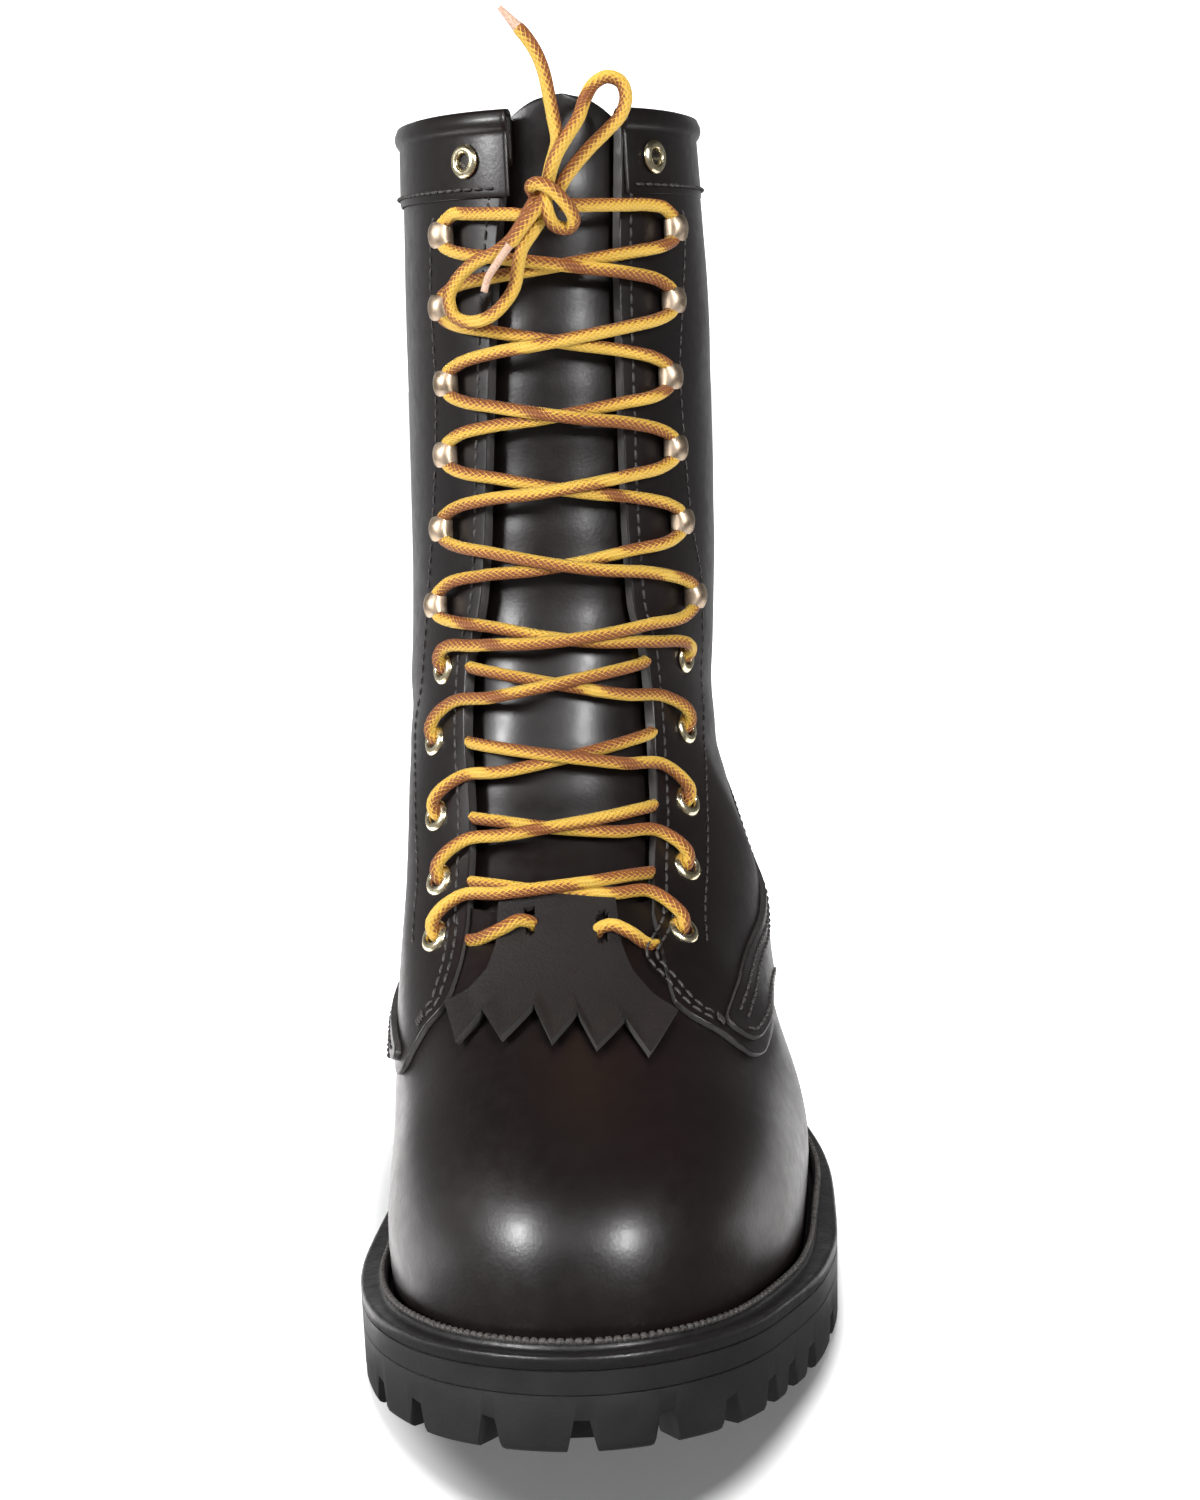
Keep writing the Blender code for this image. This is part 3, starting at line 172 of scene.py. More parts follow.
sideNames = {1: "lateral", -1: "medial"}

form = {
    "middleX": 0.0016,      # the finished boot is moved this far, to stand over the middle
    "toeY": -0.1525, "heelY": 0.1525, "toeRound": 0.078, "heelRound": 0.040,
    "toePower": 2.1, "toeRoot": 2.0, "heelPower": 2.3,
    "seatGap": 0.0006, "footTop": 0.150, "shaftFoot": 0.080, "heelLean": (0.03, 0.11),
    "swellStart": 0.0062, "swellRise": 0.018, "swellFull": 0.03,
    "crownPower": 2.6, "crownRound": 2.1, "crestPower": 1.5, "levelRun": 0.12,
    "topRun": 0.352, "collarRun": 0.3385, "throatRun": 0.113,
    "runSteps": 440, "halfSteps": 260, "soften": 3.0, "softenNormal": 2.0,
}
leather = {
    "step": 0.0018,         # quarters stand this far over the vamp
    "vampWall": 0.0022, "quarterInside": 0.0006,
    "wingLift": 0.0013, "wingRun": (-0.080, -0.040), "wingTop": (0.064, 0.078),
    "edgeRound": 0.0004,    # cut edges
    "counterGap": 0.0001, "counterThick": 0.0016,
    "bandThick": 0.0011, "bead": 0.0013,
    "tongueUnder": 0.0036, "tongueThick": 0.0018, "tongueLap": 0.011,
    "kiltieThick": 0.0018,
}


def soleTop(y):
    return readRow(soleSide, "top", y)


def soleGround(y):
    return readRow(soleSide, "ground", y)


def weltWidth(y):
    return readRow(solePlan, "welt", y)


def soleOutline(count, inset=0.0, first=form["toeY"], last=form["heelY"]):
    # lateral and medial edges from toe to heel, moved in by the inset
    turn = np.linspace(0, math.pi, count + 1)
    y = (first + last) / 2 - np.cos(turn) * (last - first) / 2
    toe = np.clip((y - form["toeY"]) / form["toeRound"], 0, 1)
    heel = np.clip((form["heelY"] - y) / form["heelRound"], 0, 1)
    rounding = (1 - (1 - toe) ** form["toePower"]) ** (1 / form["toeRoot"])
    rounding = rounding * (1 - (1 - heel) ** form["heelPower"]) ** (1 / form["heelPower"])
    centre = readRow(solePlan, "centre", y)
    half = readRow(solePlan, "half", y) * rounding
    depth = inset(y) if callable(inset) else np.full(len(y), inset)
    sides = []
    for side in (1, -1):
        x = centre + side * half
        runX, runY = np.gradient(x), np.gradient(y)
        if first == form["toeY"]:
            runX[0], runY[0] = side, 0
        if last == form["heelY"]:
            runX[-1], runY[-1] = -side, 0
        size = np.hypot(runX, runY)
        sides.append(np.stack([x - side * runY / size * depth, y + side * runX / size * depth], 1))
    return sides


featherEdge = dict(zip((1, -1), soleOutline(400, weltWidth)))
crestAt = lengthsAlong(np.stack([crestLine["y"], crestLine["z"]], 1))
fineRun = np.linspace(0, crestAt[-1], 600)
fineCrest = {name: curveThrough(crestAt, crestLine[name], fineRun) for name in ("x", "y", "z")}


def crestOf(run, column):
    return np.interp(run, fineRun, fineCrest[column])


def runAtHeight(z):
    return float(np.interp(z, fineCrest["z"], fineRun))


def widthAt(y, z, side):
    # x of the form at a place in the side view
    floor = soleTop(y) + form["seatGap"]
    back, front = readRow(backLine, "y", z, "z"), np.interp(z, fineCrest["z"], fineCrest["y"])
    shifted = y - (back - backLine["y"][0]) * ease(*form["heelLean"], y)
    shifted = np.minimum(shifted, featherEdge[side][-1, 1])
    rim = np.interp(shifted, featherEdge[side][:, 1], featherEdge[side][:, 0])
    middle = readRow(solePlan, "centre", shifted)
    reach = np.clip((rim - middle) * side, 0, None)
    crown = np.interp(y, fineCrest["y"], fineCrest["z"], right=1.0)
    share = np.clip((z - floor) / np.maximum(crown - floor, 1e-5), 0, 1)
    swell = readRow(solePlan, sideNames[side], shifted)
    rise = 1 - np.exp(-np.clip(z - floor - form["swellStart"], 0, None) / form["swellRise"])
    reach = reach + swell * np.clip(reach / form["swellFull"], 0, 1) * rise
    reach = reach * (1 - share ** form["crownPower"]) ** (1 / form["crownRound"])
    crestX = np.interp(y, fineCrest["y"], fineCrest["x"])
    middle = middle + (crestX - middle) * share ** form["crestPower"]
    along = np.clip((y - front) / (back - front), 0, 1)
    power = readRow(shaftLevels, "power", z, "z")
    leg = readRow(shaftLevels, "half", z, "z") * (1 - np.abs(2 * along - 1) ** power) ** (1 / power)
    legMiddle = (readRow(shaftLevels, "front", z, "z") * (1 - along)
                 + readRow(shaftLevels, "back", z, "z") * along)
    mix = ease(form["shaftFoot"], form["footTop"], z)
    return middle * (1 - mix) + legMiddle * mix + side * (reach * (1 - mix) + leg * mix)


def ringLine(run, side, count=240):
    # one ring of the form from the crest to the back
    frontY, frontZ = crestOf(run, "y"), crestOf(run, "z")
    backZ = float(readRow(ringBacks, "back", run, "run"))
    backY = float(readRow(backLine, "y", backZ, "z"))
    along = (1 - np.cos(np.linspace(0, math.pi, count))) / 2
    y = frontY + (backY - frontY) * along
    low = soleTop(y) + form["seatGap"]
    rise = np.clip((frontZ - low[0]) * (1 - along) + (backZ - low[-1]) * along, 0, None)
    straight = frontZ + (backZ - frontZ) * along
    level = ease(0.0, form["levelRun"], run)
    z = np.maximum((low + rise) * (1 - level) + straight * level, low)
    return np.stack([widthAt(y, z, side), y, z], 1)


def softened(grid, width, axis, around):
    # gentle blur along one way of a grid of points
    reach = int(3 * width)
    weights = np.exp(-0.5 * (np.arange(-reach, reach + 1) / width) ** 2)
    weights /= weights.sum()
    grid = np.moveaxis(grid, axis, 0)
    if around:
        padded = np.concatenate([grid[-1 - reach:-1], grid, grid[1:1 + reach]])
    else:
        head = 2 * grid[:1] - grid[1:1 + reach][::-1]
        tail = 2 * grid[-1:] - grid[-1 - reach:-1][::-1]
        padded = np.concatenate([head, grid, tail])
    result = sum(w * padded[k:k + len(grid)] for k, w in enumerate(weights))
    return np.moveaxis(result, 0, axis)


# Fine grid of the form: rows along the crest, columns from the medial back round the front to the lateral
gridRuns = np.linspace(0, form["topRun"], form["runSteps"])
ringHalf = {1: [], -1: []}
rows = []
for run in gridRuns:
    halves = []
    for side in (-1, 1):
        line = ringLine(run, side)
        at = lengthsAlong(line)
        ringHalf[side].append(at[-1])
        want = np.linspace(0, at[-1], form["halfSteps"])
        halves.append(np.stack([np.interp(want, at, line[:, k]) for k in range(3)], 1))
    rows.append(np.concatenate([halves[0][::-1], halves[1][1:]]))
formGrid = np.array(rows)
formGrid = softened(softened(formGrid, form["soften"], 1, True), form["soften"], 0, False)
formNormal = np.cross(np.gradient(formGrid, axis=1), np.gradient(formGrid, axis=0))
seam = formNormal[:, 0] + formNormal[:, -1]
formNormal[:, 0] = formNormal[:, -1] = seam
formNormal /= np.linalg.norm(formNormal, axis=2)[:, :, None]
formNormal = softened(softened(formNormal, form["softenNormal"], 1, True), form["softenNormal"], 0, False)
formNormal /= np.linalg.norm(formNormal, axis=2)[:, :, None]
print("form grid:", formGrid.shape[:2])


def cubicWeights(t):
    return (-0.5 * t + t * t - 0.5 * t ** 3, 1 - 2.5 * t * t + 1.5 * t ** 3,
            0.5 * t + 2 * t * t - 1.5 * t ** 3, -0.5 * t * t + 0.5 * t ** 3)


def sampled(grid, run, across):
    count, wide = grid.shape[0], grid.shape[1] - 1
    i = np.clip(np.asarray(run, float) / form["topRun"], 0, 1) * (count - 1)
    j = (np.asarray(across, float) + 1) / 2 * wide
    i, j = np.broadcast_arrays(i, j)
    iLow = np.clip(np.floor(i).astype(int), 0, count - 2)
    jLow = np.floor(j).astype(int)
    iWeights, jWeights = cubicWeights(i - iLow), cubicWeights(j - jLow)
    total = np.zeros(i.shape + (3,))
    for a in range(4):
        row = np.clip(iLow + a - 1, 0, count - 1)
        for b in range(4):
            total += (iWeights[a] * jWeights[b])[..., None] * grid[row, (jLow + b - 1) % wide]
    return total


def normalAt(run, across):
    normal = sampled(formNormal, run, across)
    return normal / np.linalg.norm(normal, axis=-1)[..., None]


def formAt(run, across, lift=0.0):
    return sampled(formGrid, run, across) + normalAt(run, across) * np.asarray(lift, float)[..., None]


def halfLength(run, side):
    return np.interp(run, gridRuns, ringHalf[side])


def onForm(targets):
    # run and across of the places on the form nearest to the targets
    places = []
    coarse = 6
    wide = formGrid.shape[1] - 1
    for target in np.atleast_2d(targets):
        gap = ((formGrid[::coarse, ::coarse] - target) ** 2).sum(2)
        i, j = np.unravel_index(np.argmin(gap), gap.shape)
        at = np.array([gridRuns[i * coarse], 2 * j * coarse / wide - 1])
        for k in range(6):
            here = sampled(formGrid, at[0], at[1])
            steps = np.array([0.0004, 0.002])
            slopes = np.stack([(sampled(formGrid, at[0] + steps[0], at[1]) - here) / steps[0],
                               (sampled(formGrid, at[0], at[1] + steps[1]) - here) / steps[1]], 1)
            move = np.linalg.lstsq(slopes, target - here, rcond=None)[0]
            at = at + np.clip(move, -0.01, 0.01)
            at[0] = np.clip(at[0], 0, form["topRun"])
        places.append(at)
    return np.array(places)


def frontPlace(z, x):
    # place on the front of the form at a height and a distance across
    side = 1 if x > 0 else -1
    front = float(np.interp(z, fineCrest["z"], fineCrest["y"]))
    y = front + np.linspace(0, 0.075, 300)
    widths = np.maximum.accumulate(np.abs(widthAt(y, np.full(300, z), side))) + np.arange(300) * 1e-9
    return onForm([[x, float(np.interp(abs(x), widths, y)), z]])[0]


def sidePlace(y, z, side):
    y = np.atleast_1d(np.asarray(y, float))
    z = np.atleast_1d(np.asarray(z, float))
    return onForm(np.stack([widthAt(y, z, side), y, z], 1))


# Mesh helpers
def addPiece(name, points, faces, materials, faceMaterials=None, smooth=True):
    mesh = bpy.data.meshes.new(name)
    mesh.from_pydata((np.asarray(points) - (form["middleX"], 0, 0)).tolist(), [], faces)
    for made in materials:
        mesh.materials.append(made)
    if faceMaterials is not None:
        mesh.polygons.foreach_set("material_index", np.asarray(faceMaterials, np.int32))
    mesh.polygons.foreach_set("use_smooth", np.full(len(mesh.polygons), smooth))
    mesh.update()
    piece = bpy.data.objects.new(name, mesh)
    bpy.context.scene.collection.objects.link(piece)
    return piece


def settle(piece, slot, *nodes):
    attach(piece, "root")
    if nodes:
        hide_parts(*nodes)
    return piece


def closedSheet(outer, inner, around=False, keep=None):
    # points, faces and a part number for each face: 0 outer, 1 inner, 2 edge
    rowCount, columnCount = outer.shape[:2]
    size = rowCount * columnCount
    points = np.concatenate([outer.reshape(-1, 3), inner.reshape(-1, 3)])
    faces, parts, edges = [], [], {}
    for i in range(rowCount - 1):
        for j in range(columnCount if around else columnCount - 1):
            if keep is not None and not keep[i, j]:
                continue
            n = (j + 1) % columnCount
            loop = (i * columnCount + j, i * columnCount + n,
                    (i + 1) * columnCount + n, (i + 1) * columnCount + j)
            faces.append(loop)
            parts.append(0)
            faces.append(tuple(size + k for k in reversed(loop)))
            parts.append(1)
            for a, b in zip(loop, loop[1:] + loop[:1]):
                if (b, a) in edges:
                    del edges[(b, a)]
                else:
                    edges[(a, b)] = True
    for a, b in edges:
        faces.append((b, a, size + a, size + b))
        parts.append(2)
    return points, faces, parts


def edgeDrop(distance, radius):
    near = np.clip(radius - distance, 0, radius)
    return radius - np.sqrt(np.clip(radius ** 2 - near ** 2, 0, None))


def joinParts(parts):
    points, faces, start = [], [], 0
    for somePoints, someFaces in parts:
        points.append(np.asarray(somePoints))
        faces += [tuple(start + k for k in face) for face in someFaces]
        start += len(somePoints)
    return np.concatenate(points), faces


def framesAlong(points):
    # direction and two cross directions that do not twist
    forward = np.gradient(points, axis=0)
    forward /= np.linalg.norm(forward, axis=1)[:, None]
    first = np.cross(forward[0], (0.0, 0.0, 1.0))
    if np.linalg.norm(first) < 0.1:
        first = np.cross(forward[0], (1.0, 0.0, 0.0))
    first /= np.linalg.norm(first)
    across = [first]
    for k in range(1, len(points)):
        turned = across[-1] - forward[k] * np.dot(across[-1], forward[k])
        across.append(turned / np.linalg.norm(turned))
    across = np.array(across)
    return forward, across, np.cross(forward, across)


def tubeParts(points, radii, sides=12):
    forward, across, up = framesAlong(points)
    angles = np.linspace(0, 2 * math.pi, sides, endpoint=False)
    radii = np.broadcast_to(radii, len(points))
    ring = (across[:, None] * np.cos(angles)[None, :, None] + up[:, None] * np.sin(angles)[None, :, None])
    skin = points[:, None] + ring * radii[:, None, None]
    verts = np.concatenate([skin.reshape(-1, 3), points[:1], points[-1:]])
    faces = []
    for i in range(len(points) - 1):
        for j in range(sides):
            n = (j + 1) % sides
            faces.append((i * sides + j, i * sides + n, (i + 1) * sides + n, (i + 1) * sides + j))
    first, last = len(verts) - 2, len(verts) - 1
    for j in range(sides):
        n = (j + 1) % sides
        faces.append((first, n, j))
        faces.append((last, (len(points) - 1) * sides + j, (len(points) - 1) * sides + n))
    return verts, faces


# Camera where the photo was taken from, in metres and radians
photoView = {
    "place": (-0.01174, -0.51981, 0.25971), "yaw": 0.0377, "pitch": 0.2391, "roll": -0.0317,
    "lens": 46.375, "sensor": 36, "shiftX": -0.0086, "shiftY": -0.0013, "clip": (0.01, 20),
}
cameraData = bpy.data.cameras.new("photoCamera")
camera = bpy.data.objects.new("photoCamera", cameraData)
bpy.context.scene.collection.objects.link(camera)
bpy.context.scene.camera = camera
cameraData.sensor_width, cameraData.lens = photoView["sensor"], photoView["lens"]
cameraData.shift_x, cameraData.shift_y = photoView["shiftX"], photoView["shiftY"]
cameraData.clip_start, cameraData.clip_end = photoView["clip"]
yaw, pitch, roll = photoView["yaw"], photoView["pitch"], photoView["roll"]
ahead = Vector((math.sin(yaw) * math.cos(pitch), math.cos(yaw) * math.cos(pitch), -math.sin(pitch)))
level = Vector((math.cos(yaw), -math.sin(yaw), 0))
upright = level.cross(ahead)
rightWay = level * math.cos(roll) + upright * math.sin(roll)
upWay = upright * math.cos(roll) - level * math.sin(roll)
turn = Matrix((rightWay, upWay, -ahead)).transposed().to_4x4()
camera.matrix_world = Matrix.Translation(photoView["place"]) @ turn


# Node helpers for the room and the materials
def newMaterial(name, colour, rough, metal=0.0):
    made = bpy.data.materials.new(name)
    made.use_nodes = True
    nodes, links = made.node_tree.nodes, made.node_tree.links
    shader = nodes["Principled BSDF"]
    shader.inputs["Base Color"].default_value = (*colour, 1)
    shader.inputs["Roughness"].default_value = rough
    shader.inputs["Metallic"].default_value = metal
    spot = nodes.new("ShaderNodeTexCoord")
    return made, nodes, links, shader, spot


def noiseNode(nodes, links, spot, size, detail=3.0, rough=0.55):
    noise = nodes.new("ShaderNodeTexNoise")
    noise.inputs["Scale"].default_value = 1 / size
    noise.inputs["Detail"].default_value = detail
    noise.inputs["Roughness"].default_value = rough
    links.new(spot.outputs["Object"], noise.inputs["Vector"])
    return noise.outputs["Fac"]


def rampNode(nodes, links, source, *stops):
    ramp = nodes.new("ShaderNodeValToRGB")
    elements = ramp.color_ramp.elements
    while len(elements) < len(stops):
        elements.new(0.5)
    for element, (at, colour) in zip(elements, stops):
        element.position = at
        element.color = (*colour, 1)
    links.new(source, ramp.inputs["Fac"])
    return ramp.outputs["Color"]


def rangeNode(nodes, links, source, low, high, fromLow=0.3, fromHigh=0.7, way="LINEAR"):
    spread = nodes.new("ShaderNodeMapRange")
    spread.interpolation_type = way
    names = ("From Min", "From Max", "To Min", "To Max")
    for socket, value in zip(names, (fromLow, fromHigh, low, high)):
        spread.inputs[socket].default_value = value
    links.new(source, spread.inputs["Value"])
    return spread.outputs["Result"]


def mathNode(nodes, links, kind, first, second=0.0):
    node = nodes.new("ShaderNodeMath")
    node.operation = kind
    for socket, value in zip(node.inputs, (first, second)):
        if isinstance(value, (int, float)):
            socket.default_value = value
        else:
            links.new(value, socket)
    return node.outputs[0]


def bumpChain(nodes, links, shader, *heights):
    # each height comes with its depth in metres
    before = None
    for height, depth in heights:
        bump = nodes.new("ShaderNodeBump")
        bump.inputs["Strength"].default_value = 1.0
        bump.inputs["Distance"].default_value = depth
        links.new(height, bump.inputs["Height"])
        if before:
            links.new(before, bump.inputs["Normal"])
        before = bump.outputs["Normal"]
    links.new(before, shader.inputs["Normal"])


# Pale room and soft lights
studio = {
    "wall": ((0.20, 0.26), (0.50, 0.28), (0.89, 0.36), (0.98, 1.2)),  # depth in the room, tone of its wall
    "right": (-0.60, 0.60, 0.50),   # from the left to the right the walls darken to this share
    "high": (0.15, 0.60, 0.20),     # between these heights the walls darken to this share
    "paint": (0.90, 0.90, 0.90), "floorSize": 9.0, "floorRough": (0.5, 0.6),
    # the floor's glow drops inside an ellipse round the boot: a painted shadow under and beside it
    "paintedShadowSize": (0.062, 0.158), "paintedShadowEdge": (0.98, 1.20), "glow": (0.14, 0.90),  # less glow near the boot
    "cardTint": (1, 0.95, 0.95), "cardLift": 0.0003,
    "backdropReach": 0.48, "backdropSides": 64, "backdropHeights": (-0.01, 6.0),
    "backdropGlow": (1.0, 1.06),
}
bpy.context.scene.view_settings.view_transform = "Standard"
room = bpy.data.worlds.new("paleRoom")
bpy.context.scene.world = room
room.use_nodes = True
nodes, links = room.node_tree.nodes, room.node_tree.links
roomSpot = nodes.new("ShaderNodeTexCoord")
roomWay = nodes.new("ShaderNodeSeparateXYZ")
links.new(roomSpot.outputs["Generated"], roomWay.inputs["Vector"])
roomDepth = rangeNode(nodes, links, roomWay.outputs["Y"], 0.0, 1.0, -1.0, 1.0)
roomTone = rampNode(nodes, links, roomDepth, *((at, (tone, tone, tone)) for at, tone in studio["wall"]))
highShare = rangeNode(nodes, links, roomWay.outputs["Z"], 1.0, studio["high"][2], *studio["high"][:2])
rightShare = rangeNode(nodes, links, roomWay.outputs["X"], 1.0, studio["right"][2], *studio["right"][:2])
links.new(roomTone, nodes["Background"].inputs["Color"])
links.new(mathNode(nodes, links, "MULTIPLY", highShare, rightShare), nodes["Background"].inputs["Strength"])
lamps = columnsOf(
    "x y z aimX aimY aimZ wide tall power",
    (-1.235, -0.690, 0.740, -0.020, -0.133, 0.058, 0.34, 0.34, 28),
    (0.655, -1.263, 0.804, 0.004, -0.138, 0.057, 0.34, 0.34, 24),
    (-0.300, -1.300, 1.020, 0.000, -0.130, 0.060, 1.90, 0.55, 5),
    (0.000, 0.450, 2.400, 0.000, -0.100, 0.000, 0.70, 0.70, 60))
lampObjects = []
for k in range(len(lamps["x"])):
    lampData = bpy.data.lights.new(f"softbox{k + 1}", "AREA")
    lampData.shape = "ELLIPSE"
    lampData.size, lampData.size_y = float(lamps["wide"][k]), float(lamps["tall"][k])
    lampData.energy = float(lamps["power"][k])
    lamp = bpy.data.objects.new(lampData.name, lampData)
    bpy.context.scene.collection.objects.link(lamp)
    lamp.location = (lamps["x"][k], lamps["y"][k], lamps["z"][k])
    aim = Vector((lamps["aimX"][k], lamps["aimY"][k], lamps["aimZ"][k])) - lamp.location
    lamp.rotation_euler = aim.to_track_quat("-Z", "Y").to_euler()
    lampObjects.append(lamp)


# Floor, side cards and backdrop
def hideFrom(piece, *rays):
    for ray in rays:
        setattr(piece, f"visible_{ray}", False)


def flatPiece(name, xs, ys, z, paint):
    corners = [(xs[a], ys[b], z) for a, b in ((0, 0), (1, 0), (1, 1), (0, 1))]
    return addPiece(name, corners, [(0, 1, 2, 3)], [paint])


def glowPaint(name, rough, tint, cloudSize, low, high):
    made, nodes, links, shader, spot = newMaterial(name, studio["paint"], rough)
    shader.inputs["Emission Color"].default_value = (*tint, 1)
    cloud = noiseNode(nodes, links, spot, cloudSize)
    links.new(rangeNode(nodes, links, cloud, low, high), shader.inputs["Emission Strength"])
    return made


def floorWithPaintedShadow():
    # pale, with a glow that fades under the boot, which paints a shadow round its footprint
    made, nodes, links, shader, spot = newMaterial("paleFloor", studio["paint"], 0.55)
    cloud = noiseNode(nodes, links, spot, 0.2)
    links.new(rangeNode(nodes, links, cloud, *studio["floorRough"]), shader.inputs["Roughness"])
    shader.inputs["Emission Color"].default_value = (1, 1, 1, 1)
    scaled = nodes.new("ShaderNodeVectorMath")
    scaled.operation = "DIVIDE"
    scaled.inputs[1].default_value = (*studio["paintedShadowSize"], 1.0)
    reach = nodes.new("ShaderNodeVectorMath")
    reach.operation = "LENGTH"
    links.new(spot.outputs["Object"], scaled.inputs[0])
    links.new(scaled.outputs["Vector"], reach.inputs[0])
    span = (*studio["glow"], *studio["paintedShadowEdge"])
    # low glow within the ellipse, full glow beyond it: the painted shadow
    glow = rangeNode(nodes, links, reach.outputs["Value"], *span, "SMOOTHSTEP")
    links.new(glow, shader.inputs["Emission Strength"])
    return made


half = studio["floorSize"] / 2
floor = flatPiece("floor", (-half, half), (-half, half), 0, floorWithPaintedShadow())
hideFrom(floor, "glossy")
hideFrom(lampObjects[-1], "glossy")   # the high lamp lights the floor and leaves no reflection
# the front lamps leave the floor alone, so the toe's shadow stays on it
unlit = bpy.data.collections.new("unlitByFront")
unlit.objects.link(floor)
unlit.collection_objects[0].light_linking.link_state = "EXCLUDE"
for lamp in lampObjects[:-1]:
    lamp.light_linking.receiver_collection = unlit
# pale cards beside the boot, seen only as soft reflections in its lower sides
cards = columnsOf("x0 x1 y0 y1 glow", (-0.45, -0.075, -0.085, 0.30, 1.0), (0.075, 0.45, -0.07, 0.30, 0.34))
for k, glow in enumerate(cards["glow"]):
    paint = glowPaint(f"paleCard{k + 1}", 0.8, studio["cardTint"], 0.3, glow * 0.9, glow)
    xs, ys = (cards["x0"][k], cards["x1"][k]), (cards["y0"][k], cards["y1"][k])
    card = flatPiece(f"sideCard{k + 1}", xs, ys, studio["cardLift"], paint)
    hideFrom(card, "camera", "diffuse", "shadow", "transmission")
# white backdrop all round, seen by the camera alone
count = studio["backdropSides"]
turns = np.linspace(0, 2 * math.pi, count, endpoint=False)
ring = np.stack([np.cos(turns), np.sin(turns)], 1) * studio["floorSize"] * studio["backdropReach"]
wallPoints = [(x, y, z) for z in studio["backdropHeights"] for x, y in ring]
wallFaces = [(k, (k + 1) % count, count + (k + 1) % count, count + k) for k in range(count)]
wallPaint = glowPaint("whiteBackdrop", 0.9, (1, 1, 1), 1.5, *studio["backdropGlow"])
backdrop = addPiece("backdrop", wallPoints, wallFaces, [wallPaint])
hideFrom(backdrop, "glossy", "diffuse", "shadow", "transmission")
print("camera and studio ready")


# Leather, rubber, metal, thread and lace
def leatherMaterial(name, looks):
    made, nodes, links, shader, spot = newMaterial(name, looks["dark"], looks["rough"][0])
    cloud = noiseNode(nodes, links, spot, 0.05, 4)
    fine = noiseNode(nodes, links, spot, 0.004, 3)
    tint = rampNode(nodes, links, cloud, (0.35, looks["dark"]), (0.68, looks["warm"]))
    links.new(tint, shader.inputs["Base Color"])
    links.new(rangeNode(nodes, links, fine, *looks["rough"]), shader.inputs["Roughness"])
    cells = nodes.new("ShaderNodeTexVoronoi")
    cells.inputs["Scale"].default_value = 1 / looks["grain"]
    links.new(spot.outputs["Object"], cells.inputs["Vector"])
    pores = noiseNode(nodes, links, spot, looks["grain"] * 0.45, 2)
    soft = noiseNode(nodes, links, spot, 0.006, 2)
    bumpChain(nodes, links, shader, (soft, looks["ripple"]), (cells.outputs["Distance"], looks["depth"]),
              (pores, looks["depth"] * 0.5))
    shader.inputs["Coat Weight"].default_value = looks["coat"]
    shader.inputs["Coat Roughness"].default_value = looks["coatRough"]
    shader.inputs["Specular IOR Level"].default_value = looks["gloss"]
    return made


blackLeather = leatherMaterial("blackLeather", {
    "dark": (0.0040, 0.0028, 0.0028), "warm": (0.0068, 0.0039, 0.0038), "rough": (0.33, 0.42),
    "grain": 0.0010, "depth": 0.00002, "ripple": 0.00004, "coat": 0.10, "coatRough": 0.26, "gloss": 0.38})
weltLeather = leatherMaterial("weltLeather", {
    "dark": (0.0042, 0.0037, 0.0039), "warm": (0.0070, 0.0062, 0.0063), "rough": (0.36, 0.50),
    "grain": 0.0012, "depth": 0.00005, "ripple": 0.00022, "coat": 0.06, "coatRough": 0.28, "gloss": 0.42})
kiltieLeather = leatherMaterial("kiltieLeather", {
    "dark": (0.0066, 0.0056, 0.0056), "warm": (0.0105, 0.0084, 0.0082), "rough": (0.55, 0.66),
    "grain": 0.0008, "depth": 0.00010, "ripple": 0.00014, "coat": 0.0, "coatRough": 0.4, "gloss": 0.4})
edgeLeather = leatherMaterial("edgeLeather", {
    "dark": (0.030, 0.028, 0.0275), "warm": (0.047, 0.044, 0.0425), "rough": (0.45, 0.60),
    "grain": 0.0006, "depth": 0.00004, "ripple": 0.00006, "coat": 0.0, "coatRough": 0.3, "gloss": 0.45})
insideLeather = leatherMaterial("insideLeather", {
    "dark": (0.030, 0.021, 0.016), "warm": (0.052, 0.036, 0.026), "rough": (0.72, 0.85),
    "grain": 0.0007, "depth": 0.00012, "ripple": 0.00015, "coat": 0.0, "coatRough": 0.5, "gloss": 0.25})
insoleLeather = leatherMaterial("insoleLeather", {
    "dark": (0.24, 0.155, 0.088), "warm": (0.33, 0.225, 0.135), "rough": (0.60, 0.75),
    "grain": 0.0009, "depth": 0.00008, "ripple": 0.00010, "coat": 0.0, "coatRough": 0.5, "gloss": 0.3})


def rubberMaterial(looks):
    made, nodes, links, shader, spot = newMaterial("soleRubber", looks["dark"], looks["rough"][0])
    cloud = noiseNode(nodes, links, spot, 0.02, 4)
    fine = noiseNode(nodes, links, spot, 0.0012, 2)
    tint = rampNode(nodes, links, cloud, (0.3, looks["dark"]), (0.7, looks["worn"]))
    links.new(tint, shader.inputs["Base Color"])
    links.new(rangeNode(nodes, links, cloud, *looks["rough"]), shader.inputs["Roughness"])
    bumpChain(nodes, links, shader, (cloud, 0.0003), (fine, 0.00007))
    return made


def metalMaterial(name, colour, worn, rough):
    made, nodes, links, shader, spot = newMaterial(name, colour, rough, 1.0)
    cloud = noiseNode(nodes, links, spot, 0.003, 4)
    links.new(rampNode(nodes, links, cloud, (0.35, colour), (0.7, worn)), shader.inputs["Base Color"])
    links.new(rangeNode(nodes, links, cloud, rough * 0.8, rough * 1.3), shader.inputs["Roughness"])
    bumpChain(nodes, links, shader, (cloud, 0.00004))
    return made


